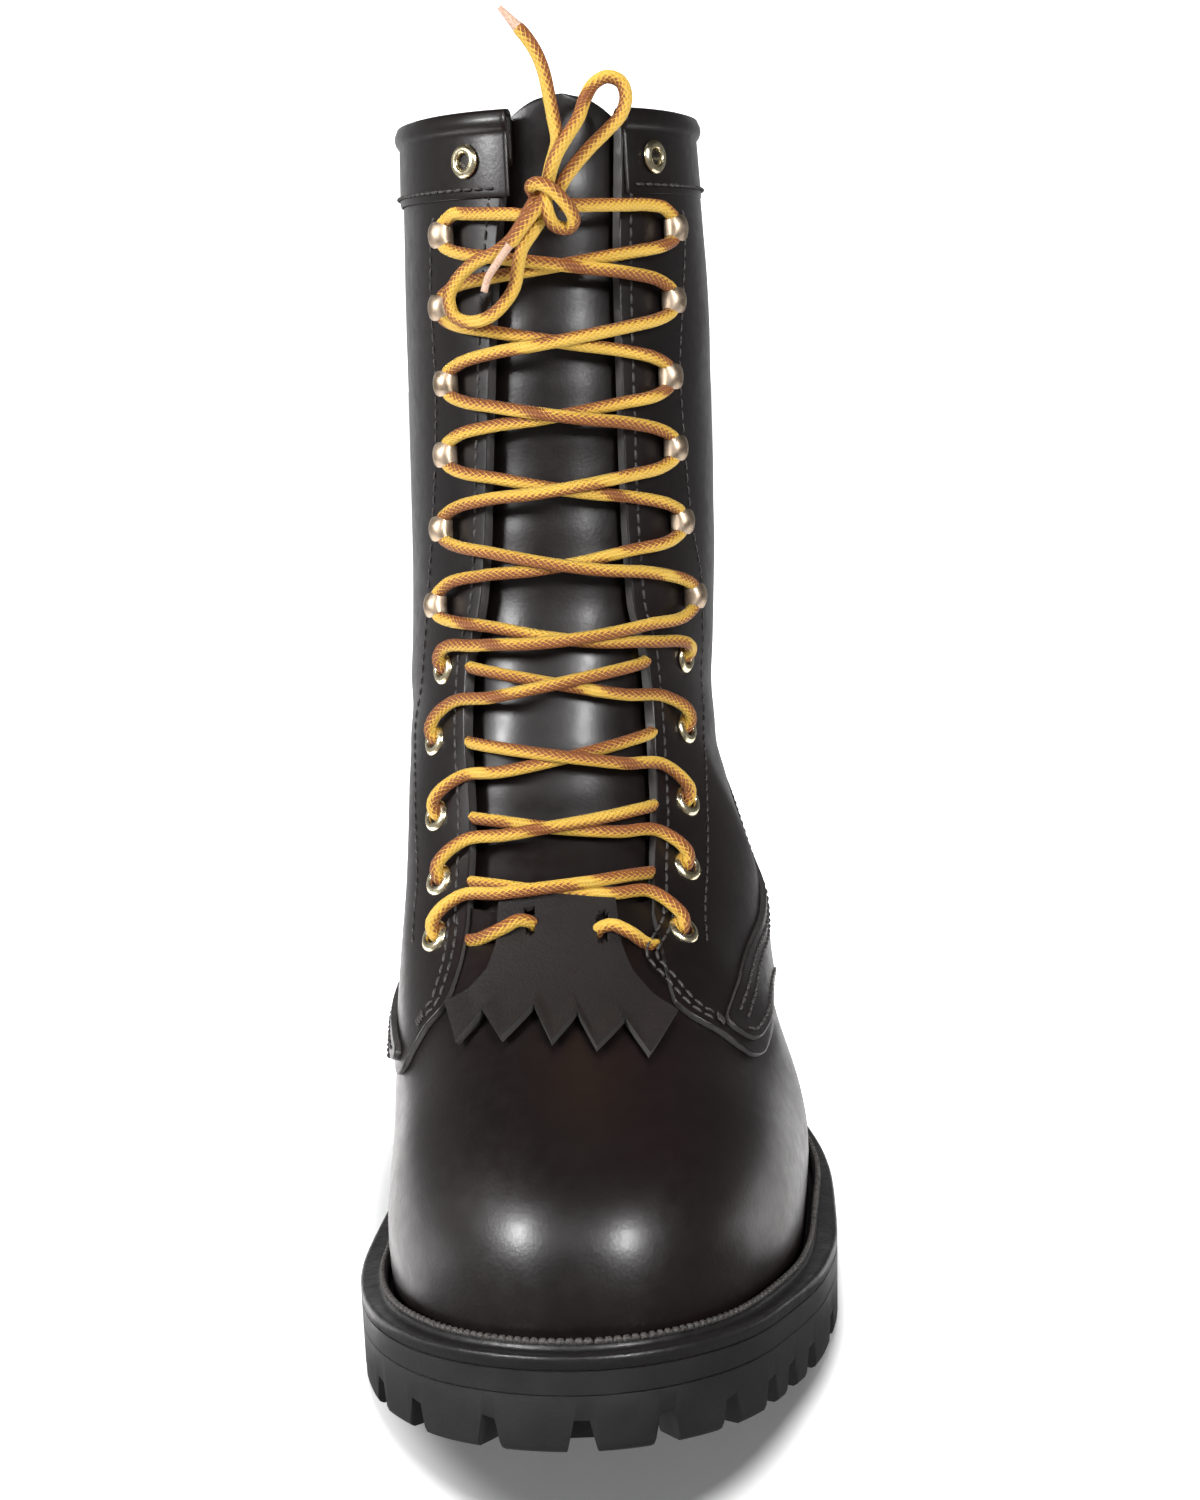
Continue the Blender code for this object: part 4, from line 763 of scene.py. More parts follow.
def threadMaterial(name, colour, warm):
    made, nodes, links, shader, spot = newMaterial(name, colour, 0.6)
    fine = noiseNode(nodes, links, spot, 0.0006, 2)
    links.new(rampNode(nodes, links, fine, (0.35, colour), (0.65, warm)), shader.inputs["Base Color"])
    bumpChain(nodes, links, shader, (fine, 0.00008))
    return made


def laceMaterial():
    # braided yarns in checks on the UV map: length in millimetres, and turns round the cord
    look = {
        "yellow": (0.47, 0.262, 0.022), "pale": (0.52, 0.34, 0.055), "brown": (0.17, 0.045, 0.006),
        "fleck": (0.32, 0.14, 0.02), "yarns": 16, "pitch": 0.55, "depth": 0.00022,
        "yarnShare": 0.26, "fleckOver": 0.86, "fleckShare": 0.30,
    }
    made, nodes, links, shader, spot = newMaterial("laceBraid", look["yellow"], 0.62)
    split = nodes.new("ShaderNodeSeparateXYZ")
    links.new(spot.outputs["UV"], split.inputs["Vector"])

    def work(kind, first, second=0.0):
        return mathNode(nodes, links, kind, first, second)

    along, around = split.outputs["X"], split.outputs["Y"]
    yarnWay = work("MULTIPLY", along, look["pitch"] * 2 * math.pi)
    roundWay = work("MULTIPLY", around, look["yarns"] / 2 * 2 * math.pi)
    oneWay = work("SINE", work("ADD", yarnWay, roundWay))
    otherWay = work("SINE", work("SUBTRACT", yarnWay, roundWay))
    braid = work("MAXIMUM", oneWay, otherWay)
    halfTurn = work("SINE", work("MULTIPLY", around, 2 * math.pi))
    mixed = work("ADD", halfTurn, work("MULTIPLY", oneWay, look["yarnShare"]))
    fleck = work("MULTIPLY", work("GREATER_THAN", otherWay, look["fleckOver"]), look["fleckShare"])
    spread = work("ADD", work("MULTIPLY", work("ADD", mixed, 1.34), 0.373), fleck)   # to a range of 0 to 1
    tint = rampNode(nodes, links, spread, (0.0, look["brown"]), (0.40, look["brown"]),
                    (0.50, look["fleck"]), (0.58, look["yellow"]), (1.0, look["pale"]))
    links.new(tint, shader.inputs["Base Color"])
    bumpChain(nodes, links, shader, (work("MULTIPLY", work("ADD", braid, 1.0), 0.5), look["depth"]))
    shader.inputs["Sheen Weight"].default_value = 0.04
    return made


soleRubber = rubberMaterial({
    "dark": (0.0060, 0.0057, 0.0058), "worn": (0.0098, 0.0093, 0.0093), "rough": (0.46, 0.62)})
eyeletBrass = metalMaterial("eyeletBrass", (0.86, 0.74, 0.46), (0.92, 0.84, 0.62), 0.24)
hookMetal = metalMaterial("hookMetal", (0.44, 0.33, 0.23), (0.60, 0.49, 0.38), 0.44)
blackThread = threadMaterial("blackThread", (0.018, 0.016, 0.016), (0.042, 0.038, 0.037))
weltThread = threadMaterial("weltThread", (0.020, 0.018, 0.017), (0.055, 0.050, 0.046))
laceBraid = laceMaterial()
laceTip = threadMaterial("laceTip", (0.36, 0.21, 0.14), (0.46, 0.32, 0.24))
print("materials mixed")


# Loops and free ends of the lace: the places repeat the solid's
lace = {
    "radius": 0.0017, "sides": 14,
    "turnEvery": (0.050, 0.085), "turnOver": 0.010,  # the two colours change sides along the lace
    "waver": 0.06, "waverSize": 0.011,               # how far the line between them swings, in turns
    "facing": (0.0, -0.97, 0.22),                    # that line looks out of the boot
    "bowSteps": 60, "knotSteps": 70,
}
laceChance = np.random.default_rng(21)
bowRoutes = {
    "lace_loop_upper": columnsOf(
        "x y z",
        (-0.0032, -0.0105, 0.2806), (-0.0025, -0.0130, 0.2846), (-0.0007, -0.0145, 0.2895),
        (0.0023, -0.0138, 0.2942), (0.0053, -0.0122, 0.2986), (0.0073, -0.0104, 0.3035),
        (0.0097, -0.0088, 0.3071), (0.0132, -0.0080, 0.3087), (0.0166, -0.0076, 0.3073),
        (0.0177, -0.0075, 0.3040), (0.0164, -0.0076, 0.2997), (0.0128, -0.0082, 0.2959),
        (0.0086, -0.0096, 0.2921), (0.0044, -0.0110, 0.2877), (0.0011, -0.0118, 0.2836),
        (-0.0009, -0.0100, 0.2801)),
    "lace_loop_lower": columnsOf(
        "x y z",
        (-0.0035, -0.0095, 0.2792), (-0.0056, -0.0115, 0.2794), (-0.0093, -0.0122, 0.2743),
        (-0.0130, -0.0110, 0.2694), (-0.0166, -0.0095, 0.2668), (-0.0226, -0.0060, 0.2642),
        (-0.0275, -0.0025, 0.2598), (-0.0296, -0.0005, 0.2558), (-0.0286, -0.0005, 0.2512),
        (-0.0245, -0.0035, 0.2494), (-0.0197, -0.0060, 0.2504), (-0.0154, -0.0080, 0.2537),
        (-0.0123, -0.0090, 0.2582), (-0.0112, -0.0098, 0.2632), (-0.0102, -0.0104, 0.2671),
        (-0.0071, -0.0108, 0.2715), (-0.0036, -0.0095, 0.2763)),
    "lace_end_upper": columnsOf(
        "x y z",
        (-0.0036, -0.0095, 0.2812), (-0.0019, -0.0105, 0.2876), (-0.0002, -0.0110, 0.2933),
        (-0.0009, -0.0110, 0.2988), (-0.0018, -0.0108, 0.3043), (-0.0030, -0.0104, 0.3104),
        (-0.0045, -0.0100, 0.3145), (-0.0069, -0.0096, 0.3184), (-0.0101, -0.0092, 0.3221),
        (-0.0133, -0.0088, 0.3257)),
    "lace_end_lower": columnsOf(
        "x y z",
        (-0.0024, -0.0120, 0.2808), (-0.0048, -0.0148, 0.2783), (-0.0064, -0.0156, 0.2766),
        (-0.0100, -0.0158, 0.2724), (-0.0136, -0.0150, 0.2677), (-0.0166, -0.0140, 0.2639),
        (-0.0191, -0.0130, 0.2602), (-0.0202, -0.0125, 0.2570)),
}
knotRoute = columnsOf(
    "x y z",
    (-0.0059, -0.0100, 0.2798), (-0.0072, -0.0130, 0.2825), (-0.0055, -0.0155, 0.2831),
    (-0.0022, -0.0172, 0.2816), (0.0005, -0.0170, 0.2790), (0.0025, -0.0158, 0.2763),
    (0.0033, -0.0136, 0.2736), (0.0016, -0.0114, 0.2720), (-0.0013, -0.0122, 0.2727),
    (-0.0030, -0.0148, 0.2751), (-0.0037, -0.0155, 0.2784), (-0.0033, -0.0125, 0.2807))
# each free end: length of its tip and the share of the lace's thickness where the tip starts and ends
lacePoints = {"lace_end_upper": (0.007, 0.85, 0.40), "lace_end_lower": (0.015, 0.62, 0.55)}


def placesOf(route):
    return np.stack([route["x"], route["y"], route["z"]], 1)


def laceTurns(line, at):
    # where the line between the two colours lies round the cord, in turns
    forward, across, up = framesAlong(line)
    facing = np.array(lace["facing"])
    turns = np.unwrap(np.arctan2(up @ facing, across @ facing)) / (2 * math.pi)
    turns = turns + lace["waver"] * np.sin(at / lace["waverSize"] + laceChance.uniform(0, 6))
    place, turned = laceChance.uniform(-0.02, 0.05), 0.5 * laceChance.integers(0, 2)
    while place < at[-1]:
        turned = turned + 0.5 * ease(place, place + lace["turnOver"], at)
        place += laceChance.uniform(*lace["turnEvery"])
    return turns + turned


def lacePiece(name, lines, tip=None):
    # one mesh of braided tubes, with length and turn on its UV map
    parts, spots, marks = [], [], []
    sides = lace["sides"]
    for line in lines:
        at = lengthsAlong(line)
        radii = np.full(len(line), lace["radius"])
        bare = np.zeros(len(line), bool)
        if tip:
            share = np.clip((at - at[-1] + tip[0]) / tip[0], 0, 1)
            radii = radii * (1 - (1 - tip[1]) * ease(0, 0.12, share) - (tip[1] - tip[2]) * share)
            bare = share > 0.05
        parts.append(tubeParts(line, radii, sides))
        spots.append((at, laceTurns(line, at)))
        marks += [int(bare[i]) for i in range(len(line) - 1) for j in range(sides)]
        marks += [int(bare[end]) for j in range(sides) for end in (0, -1)]
    points, faces = joinParts(parts)
    piece = addPiece(name, points, faces, [laceBraid, laceTip], marks)
    uvMap = piece.data.uv_layers.new(name="braid")
    uvs = []
    for line, (at, turns) in zip(lines, spots):
        for i in range(len(line) - 1):
            for j in range(sides):
                low, high = at[i] * 1000, at[i + 1] * 1000
                uvs += [(low, j / sides - turns[i]), (low, (j + 1) / sides - turns[i]),
                        (high, (j + 1) / sides - turns[i + 1]), (high, j / sides - turns[i + 1])]
        uvs += [(0.0, 0.0)] * (6 * sides)
    uvMap.data.foreach_set("uv", np.array(uvs, np.float32).ravel())
    return piece


for name, route in bowRoutes.items():
    line = evenly(placesOf(route), lace["bowSteps"])
    piece = lacePiece(name, [line], lacePoints.get(name))
    settle(piece, "lace_cord", "lace_bow")
    line = line - (form["middleX"], 0, 0)
knotLine = evenly(placesOf(knotRoute), lace["knotSteps"])
settle(lacePiece("lace_knot", [knotLine]), "lace_cord", "lace_bow")
print("bow laid:", ", ".join(bowRoutes))


# Soft waves and creases of the leather, added along the normal
creases = columnsOf(
    "side y0 z0 y1 z1 depth width",
    (1, 0.000, 0.158, 0.050, 0.138, 0.0008, 0.007),
    (1, 0.010, 0.132, 0.062, 0.118, 0.0007, 0.006),
    (-1, 0.002, 0.152, 0.052, 0.134, 0.0008, 0.007),
    (-1, 0.014, 0.128, 0.066, 0.116, 0.0006, 0.006),
    (1, 0.080, 0.150, 0.128, 0.146, 0.0008, 0.008),
    (-1, 0.078, 0.148, 0.127, 0.144, 0.0008, 0.008))
waves = {"sizes": (0.045, 0.013), "depths": (0.00045, 0.00010), "lattice": 32}
lattice = np.random.default_rng(7).uniform(-1, 1, (waves["lattice"],) * 3)


def softNoise(points, size):
    at = points / size
    low = np.floor(at).astype(int)
    t = at - low
    t = t * t * (3 - 2 * t)
    total = np.zeros(len(points))
    for corner in np.ndindex(2, 2, 2):
        weight = np.prod(np.where(corner, t, 1 - t), axis=1)
        total += weight * lattice[tuple(((low + corner) % waves["lattice"]).T)]
    return total


def leatherWave(points):
    flat = points.reshape(-1, 3)
    lift = sum(softNoise(flat, size) * depth for size, depth in zip(waves["sizes"], waves["depths"]))
    for k in range(len(creases["side"])):
        start = np.array((creases["y0"][k], creases["z0"][k]))
        along = np.array((creases["y1"][k], creases["z1"][k])) - start
        offset = flat[:, 1:] - start
        share = np.clip(offset @ along / (along @ along), 0, 1)
        gap = np.linalg.norm(offset - share[:, None] * along, axis=1)
        here = flat[:, 0] * creases["side"][k] > 0
        fade = np.sin(math.pi * np.clip(share, 0.02, 0.98)) ** 0.7
        wide = creases["width"][k]
        trough = np.exp(-(gap / wide) ** 2) - 0.4 * np.exp(-(gap / wide / 2) ** 2)
        lift -= here * fade * creases["depth"][k] * trough
    return lift.reshape(points.shape[:-1])


def leatherSheet(name, run, across, outer, inner, waved=True, around=False, keep=None, materials=None):
    top = formAt(run, across, outer)
    under = formAt(run, across, inner)
    if waved:
        move = normalAt(run, across) * leatherWave(top)[..., None]
        top, under = top + move, under + move
    points, faces, parts = closedSheet(top, under, around, keep)
    piece = addPiece(name, points, faces, materials or [blackLeather, insideLeather, edgeLeather], parts)
    piece.data.set_sharp_from_angle(angle=math.radians(48))
    return piece


# Leather panels in columns: each column runs up the form from a lower edge to an upper one
def columnRuns(low, high, count, radius):
    # runs for each column, with fine steps at both edges
    fine = np.array([0.0, 0.08, 0.25, 0.5, 0.75, 1.0])[:, None]
    size = np.minimum(radius, 0.25 * (high - low))[None]
    t = np.linspace(0, 1, count - 10)[1:-1, None]
    middle = (low + size) * (1 - t) + (high - size) * t
    return np.concatenate([low + fine * size, middle, high - fine[::-1] * size])


def borderGap(points, border):
    # distance of each point to the nearest place on the border line
    tree = KDTree(len(border))
    for k, place in enumerate(border):
        tree.insert(place, k)
    tree.balance()
    flat = points.reshape(-1, 3)
    return np.array([tree.find(place)[2] for place in flat]).reshape(points.shape[:-1])


def vampWing(points):
    # low at the sides the vamp lies nearly flush with the quarters
    y, z = points[..., 1], points[..., 2]
    return leather["wingLift"] * ease(*leather["wingRun"], y) * (1 - ease(*leather["wingTop"], z))


# Quarters: from the throat, the front seam and the low edge up to the collar and round to the back
quarter = {
    "rows": 150, "pathColumns": 130, "backColumns": 44, "throatHeights": (0.3012, 0.0985),
    "footY": 0.0235, "footLift": 0.0012,                # where the seam ends at the sole
    "edgeSteps": (0.0, 0.00004, 0.00012, 0.00025, 0.0004, 0.0007, 0.0012, 0.0020), "edgeWide": 0.0028,
    "backSteps": (0.0012, 0.0006, 0.0003, 0.0), "backRound": 0.0006, "ringAt": 0.2,
    "overVamp": (0.128, 0.112), "lapWide": (0.030, 0.016), "lapLift": 0.00080,
    "throatRuns": (0.116, 0.130), "throatWide": (0.010, 0.003),
    "throatThick": 0.0010, "leastThick": 0.00012,
}
acrossScale = 0.22   # metres round the form for one half of a ring, to even out paths
throatPaths, seamPaths = {}, {}


def evenPath(path, count):
    return evenly(path * (1, acrossScale), count) / (1, acrossScale)


for side in (1, -1):
    name = sideNames[side]
    heights = np.linspace(*quarter["throatHeights"], 34)
    throat = np.array([frontPlace(z, side * float(readRow(throatEdges, name, z, "z"))) for z in heights])
    throat[0, 0] = form["collarRun"]
    throat = evenPath(throat, 300)
    throat[:, 0] = np.minimum.accumulate(throat[:, 0])
    throatPaths[side] = throat
    front = sidePlace(quarterFront[name + "Y"][1:-1], quarterFront[name + "Z"][1:-1], side)
    foot = sidePlace(quarter["footY"], float(soleTop(quarter["footY"])) + quarter["footLift"], side)
    seam = np.concatenate([throat[-1:], front, foot])
    seam[-1, 0] = 0.0
    seam = evenPath(seam, 420)
    seam[:, 0] = np.clip(seam[:, 0], 0, None)
    seamPaths[side] = seam


def edgeAcross(run, side):
    path = throatPaths[side]
    return np.interp(run, path[::-1, 0], path[::-1, 1])


def quarterSheet(side):
    throat, seam = throatPaths[side], seamPaths[side]
    edge = np.abs(edgeAcross(seam[:, 0], side))
    share = np.maximum.accumulate((np.abs(seam[:, 1]) - edge) / (1 - edge) + np.arange(len(seam)) * 1e-7)
    share[0] = 0.0
    ringSize = float(halfLength(quarter["ringAt"], side))
    fine = np.array(quarter["edgeSteps"]) / ringSize
    steps = np.interp(np.linspace(0, 1, quarter["pathColumns"]), np.linspace(0, 1, len(share)), share)
    columns = np.concatenate([fine, steps[steps > quarter["edgeWide"] / ringSize],
                              np.linspace(share[-1], 1, quarter["backColumns"])[1:]])
    columns = np.concatenate([columns[:-1], 1 - np.array(quarter["backSteps"]) / ringSize])
    columns = np.unique(np.round(columns, 7))
    low = np.interp(columns, share, seam[:, 0])
    high = np.full(len(columns), form["collarRun"])
    run = columnRuns(low, high, quarter["rows"], leather["edgeRound"] * 1.3)
    edge = edgeAcross(run, side)
    across = edge + (side - edge) * columns[None]
    points = formAt(run, across)
    border = np.concatenate([formAt(throat[:, 0], throat[:, 1]), formAt(seam[:, 0], seam[:, 1])])
    border = np.concatenate([border[:-1] * (1 - t) + border[1:] * t for t in np.linspace(0, 1, 6)])
    gap = borderGap(points, border)
    behind = (1 - columns[None]) * halfLength(run, side)
    backDrop = edgeDrop(behind, quarter["backRound"]) * (behind < quarter["backRound"])
    outer = leather["step"] - edgeDrop(gap, leather["edgeRound"]) - backDrop
    overVamp = ease(*quarter["overVamp"], run) * ease(*quarter["lapWide"], gap)
    inner = -leather["quarterInside"] + (quarter["lapLift"] + vampWing(points)) * overVamp
    atThroat = ease(*quarter["throatRuns"], run) * ease(*quarter["throatWide"], gap)
    inner = inner - quarter["throatThick"] * atThroat
    inner = np.minimum(inner, outer - quarter["leastThick"])
    if side < 0:
        run, across, outer, inner = (a[:, ::-1] for a in (run, across, outer, inner))
    return run, across, outer, inner


for side in (1, -1):
    piece = leatherSheet(f"quarter_{sideNames[side]}", *quarterSheet(side))
    settle(piece, "black_leather", "upper")

# Vamp: plain toe, running under the quarters and the tongue
vamp = {"rows": 130, "columns": 190, "top": 0.126}
vampReach = columnsOf("run across", (0.0, 0.88), (0.060, 0.80), (0.072, 0.74), (0.085, 0.56), (0.126, 0.42))
vampRuns = np.linspace(0, vamp["top"], vamp["rows"])
spread = np.linspace(-1, 1, vamp["columns"])[None]
vampAcross = readRow(vampReach, "across", vampRuns, "run")[:, None] * spread
vampRun = np.broadcast_to(vampRuns[:, None], vampAcross.shape)
vampLift = vampWing(formAt(vampRun, vampAcross))
vampPiece = leatherSheet("vamp", vampRun, vampAcross, vampLift, vampLift - leather["vampWall"])
settle(vampPiece, "black_leather", "upper")
print("vamp and quarters cut")

# Heel counter cover with long wings, round the back from one side to the other
counter = {
    "rows": 60, "columns": 330, "seatRun": 0.0015, "seatSteps": 60, "seatReach": 0.02,
    "sideTo": 0.13, "backTop": 0.1203, "tipSteps": (0.0, 0.0004, 0.0012, 0.0025, 0.0045, 0.0075, 0.012),
    "leastTall": 0.0004, "spacing": 1.6, "rounding": 1.4,   # the last two times the leather's edge
    "lowEdge": 0.010,                                       # below this run the edge is at the sole
}


def counterEdges(side):
    # lower and top edge from the wing tip to the back, as runs over the distance round
    name = sideNames[side]
    keep = counterEdge["lateralY"] < counter["sideTo"]
    outline = sidePlace(counterEdge[name + "Y"][keep], counterEdge[name + "Z"][keep], side)
    outline[:, 1] = np.abs(outline[:, 1])
    seat = [[counter["seatRun"], 1.0], [counter["seatRun"], outline[0, 1] + counter["seatReach"]]]
    back = [[float(np.interp(counter["backTop"], ringBacks["back"], ringBacks["run"])), 1.0]]
    outline = evenPath(np.concatenate([outline, back]), 700)
    count = counter["seatSteps"]
    outline = np.concatenate([evenly(np.array(seat), count), outline])
    tip = count + int(np.argmin(outline[count:, 1]))
    lower, upper = outline[tip::-1], outline[tip:]
    for chain in (lower, upper):
        chain[:, 1] = np.maximum.accumulate(chain[:, 1]) + np.arange(len(chain)) * 1e-9
    return lower, upper


counterChains = {side: counterEdges(side) for side in (1, -1)}
starts = {side: float(chains[0][0, 1]) for side, chains in counterChains.items()}
tipSteps = np.array(counter["tipSteps"])
counterAcross, counterLow, counterHigh = [], [], []
for side in (1, -1):
    lower, upper = counterChains[side]
    rest = np.linspace(starts[side] + tipSteps[-1], 1, counter["columns"] // 2)[1:]
    at = np.concatenate([starts[side] + tipSteps, rest])
    low = np.interp(at, lower[:, 1], lower[:, 0])
    high = np.maximum(np.interp(at, upper[:, 1], upper[:, 0]), low + counter["leastTall"])
    if side < 0:
        at, low, high = (2 - at)[-2::-1], low[-2::-1], high[-2::-1]
    counterAcross.append(at)
    counterLow.append(low)
    counterHigh.append(high)
lows, highs = np.concatenate(counterLow), np.concatenate(counterHigh)
run = columnRuns(lows, highs, counter["rows"], leather["edgeRound"] * counter["spacing"])
across = np.broadcast_to(np.concatenate(counterAcross)[None], run.shape)
border = []
for side in (1, -1):
    lower, upper = counterChains[side]
    for chain in (lower[lower[:, 0] > counter["lowEdge"]], upper):
        border.append(formAt(chain[:, 0], chain[:, 1] if side > 0 else 2 - chain[:, 1]))
gap = borderGap(formAt(run, across), np.concatenate(border))
base = np.full(run.shape, leather["step"] + leather["counterGap"])
top = base + leather["counterThick"] - edgeDrop(gap, leather["edgeRound"] * counter["rounding"])
settle(leatherSheet("heel_counter_cover", run, across, top, base), "black_leather", "heel_counter")

# Collar band, rolled over the top edge
collar = {"steps": 260, "stitchDrop": 0.0178, "stitchEnd": 0.01, "stitchSteps": 300}
bandShape = columnsOf(
    "run lift bead",
    (-0.0200, 0.00190, 0), (-0.0201, 0.00220, 0), (-0.0199, 0.00225, 0), (-0.0194, 0.00238, 0),
    (-0.0185, 0.00245, 0), (-0.0120, 0.00245, 0), (-0.0050, 0.00245, 0), (-0.0042, 0.00241, 0),
    (-0.0036, 0.00245, 0.10), (-0.0031, 0.00245, 0.45), (-0.0024, 0.00245, 0.78), (-0.0014, 0.00245, 1.0),
    (-0.0003, 0.00245, 0.95), (0.0007, 0.00245, 0.65), (0.0014, 0.00260, 0.35), (0.0018, 0.00180, 0.10),
    (0.0019, 0.00060, 0), (0.0016, -0.00060, 0), (0.0008, -0.00140, 0), (-0.0010, -0.00175, 0),
    (-0.0080, -0.00175, 0), (-0.0120, -0.00160, 0), (-0.0122, -0.00110, 0), (-0.0100, -0.00055, 0),
    (-0.0010, -0.00055, 0), (0.0, -0.0004, 0), (0.0003, 0.0008, 0), (0.0, 0.0019, 0))
bandEnds = edgeAcross(form["collarRun"], 1), 2 + edgeAcross(form["collarRun"], -1)
bandAcross = np.linspace(*bandEnds, collar["steps"])
bandRun = form["collarRun"] + bandShape["run"][:, None] + 0 * bandAcross[None]
bandLift = (bandShape["lift"] + bandShape["bead"] * leather["bead"])[:, None] + 0 * bandAcross[None]
bandPoints = formAt(bandRun, bandAcross[None] + 0 * bandRun, bandLift)
count, wide = bandPoints.shape[:2]
faces = []
for i in range(count):
    n = (i + 1) % count
    faces += [(i * wide + j, i * wide + j + 1, n * wide + j + 1, n * wide + j) for j in range(wide - 1)]
faces.append(tuple(i * wide for i in range(count)))
faces.append(tuple(i * wide + wide - 1 for i in range(count))[::-1])
band = addPiece("collar_binding", bandPoints.reshape(-1, 3), faces, [blackLeather])
settle(band, "black_leather", "collar_band")
print("counter and collar fitted")


# Tongue and kiltie lie along the throat
def acrossAt(run, x):
    guess = np.linspace(-0.5, 0.5, 260)
    line = sampled(formGrid, np.full(260, run), guess)[:, 0]
    return np.interp(x, np.maximum.accumulate(line + np.arange(260) * 1e-9), guess)


tongueRows = columnsOf(
    "run taper",
    (0.0970, 0.80), (0.1080, 0.86), (0.1220, 0.94), (0.1400, 1.0), (0.3100, 1.0), (0.3270, 0.96),
    (0.3362, 0.75), (0.3388, 0.63), (0.3415, 0.46), (0.3432, 0.29), (0.3442, 0.06))
tongueLook = {
    "foldPitch": (0.031, 0.0127), "foldDepth": (0.00018, 0.00010), "sideDrop": 0.0012, "columns": 57,
    "stretches": ((0.097, 0.330, 120), (0.330, 0.3405, 14), (0.3405, 0.3442, 12)),   # from, to, rows
}
tongueRuns = np.unique(np.concatenate([np.linspace(*stretch) for stretch in tongueLook["stretches"]]))
tongueAcross, tongueLift = [], []
t = np.linspace(-1, 1, tongueLook["columns"])
folds = list(zip(tongueLook["foldPitch"], tongueLook["foldDepth"]))
for run in tongueRuns:
    z = crestOf(run, "z")
    left = -float(readRow(throatEdges, "medial", z, "z")) - leather["tongueLap"]
    right = float(readRow(throatEdges, "lateral", z, "z")) + leather["tongueLap"]
    taper = float(readRow(tongueRows, "taper", run, "run"))
    tongueAcross.append(acrossAt(run, (left + right) / 2 + t * (right - left) / 2 * taper))
    fold = sum(math.sin(2 * math.pi * run / pitch) * depth for pitch, depth in folds)
    lift = -leather["tongueUnder"] - tongueLook["sideDrop"] * t ** 2
    tongueLift.append(lift + fold * (1 - 0.6 * t ** 2))
tongueAcross, tongueLift = np.array(tongueAcross), np.array(tongueLift)
tongueRun = np.broadcast_to(tongueRuns[:, None], tongueAcross.shape)
tongueInner = tongueLift - leather["tongueThick"]
tongue = leatherSheet("tongue_leather", tongueRun, tongueAcross, tongueLift, tongueInner)
settle(tongue, "black_leather", "tongue")

kiltieEnds = columnsOf(
    "x run",
    (-0.0352, 0.0850), (-0.0324, 0.0722), (-0.0263, 0.0868), (-0.0221, 0.0780), (-0.0143, 0.0920),
    (-0.0105, 0.0790), (-0.0043, 0.0898), (-0.0002, 0.0765), (0.0068, 0.0853), (0.0118, 0.0715),
    (0.0194, 0.0825))
kiltieSpread = columnsOf(
    "part spread", (0.0, 0.52), (0.2, 0.54), (0.4, 0.56), (0.6, 0.64), (0.8, 0.80), (1.0, 1.0))
kiltieLook = {
    "top": 0.1330, "rows": 44, "columnsEach": 6, "clear": 0.0004, "curl": 0.0010, "curlFrom": 0.80,
    "slotHalf": (0.0014, 0.0026),
}
slotPlaces = ((-0.0150, 0.0992), (0.0028, 0.0975))
points = np.arange(len(kiltieEnds["x"]))
keys = np.linspace(0, points[-1], kiltieLook["columnsEach"] * points[-1] + 1)
endX = np.interp(keys, points, kiltieEnds["x"])
endRun = np.interp(keys, points, kiltieEnds["run"])
middle = (endX[0] + endX[-1]) / 2
kiltieRun, kiltieAcross, kiltieLift = [], [], []
for part in np.linspace(0, 1, kiltieLook["rows"]):
    spreadHere = float(np.interp(part, kiltieSpread["part"], kiltieSpread["spread"]))
    runs = kiltieLook["top"] + (endRun - kiltieLook["top"]) * part
    xs = middle + (endX - middle) * spreadHere
    kiltieRun.append(runs)
    kiltieAcross.append([acrossAt(r, x) for r, x in zip(runs, xs)])
    curl = kiltieLook["curl"] * ease(kiltieLook["curlFrom"], 1.0, part)
    kiltieLift.append(kiltieLook["clear"] + curl + 0 * runs)
kiltieRun, kiltieAcross, kiltieLift = (np.array(a)[::-1] for a in (kiltieRun, kiltieAcross, kiltieLift))
spots = formAt(kiltieRun, kiltieAcross)
keep = np.ones((len(kiltieRun) - 1, kiltieRun.shape[1] - 1), bool)
for slotX, slotZ in slotPlaces:
    near = ((np.abs(spots[..., 0] - slotX) < kiltieLook["slotHalf"][0])
            & (np.abs(spots[..., 2] - slotZ) < kiltieLook["slotHalf"][1]))
    keep &= ~near[:-1, :-1]
kiltieTop = kiltieLift + leather["kiltieThick"]
kiltie = leatherSheet("kiltie_leather", kiltieRun, kiltieAcross, kiltieTop, kiltieLift,
                      keep=keep, materials=[kiltieLeather, kiltieLeather, edgeLeather])
settle(kiltie, "black_leather", "kiltie")
print("tongue and kiltie laid")


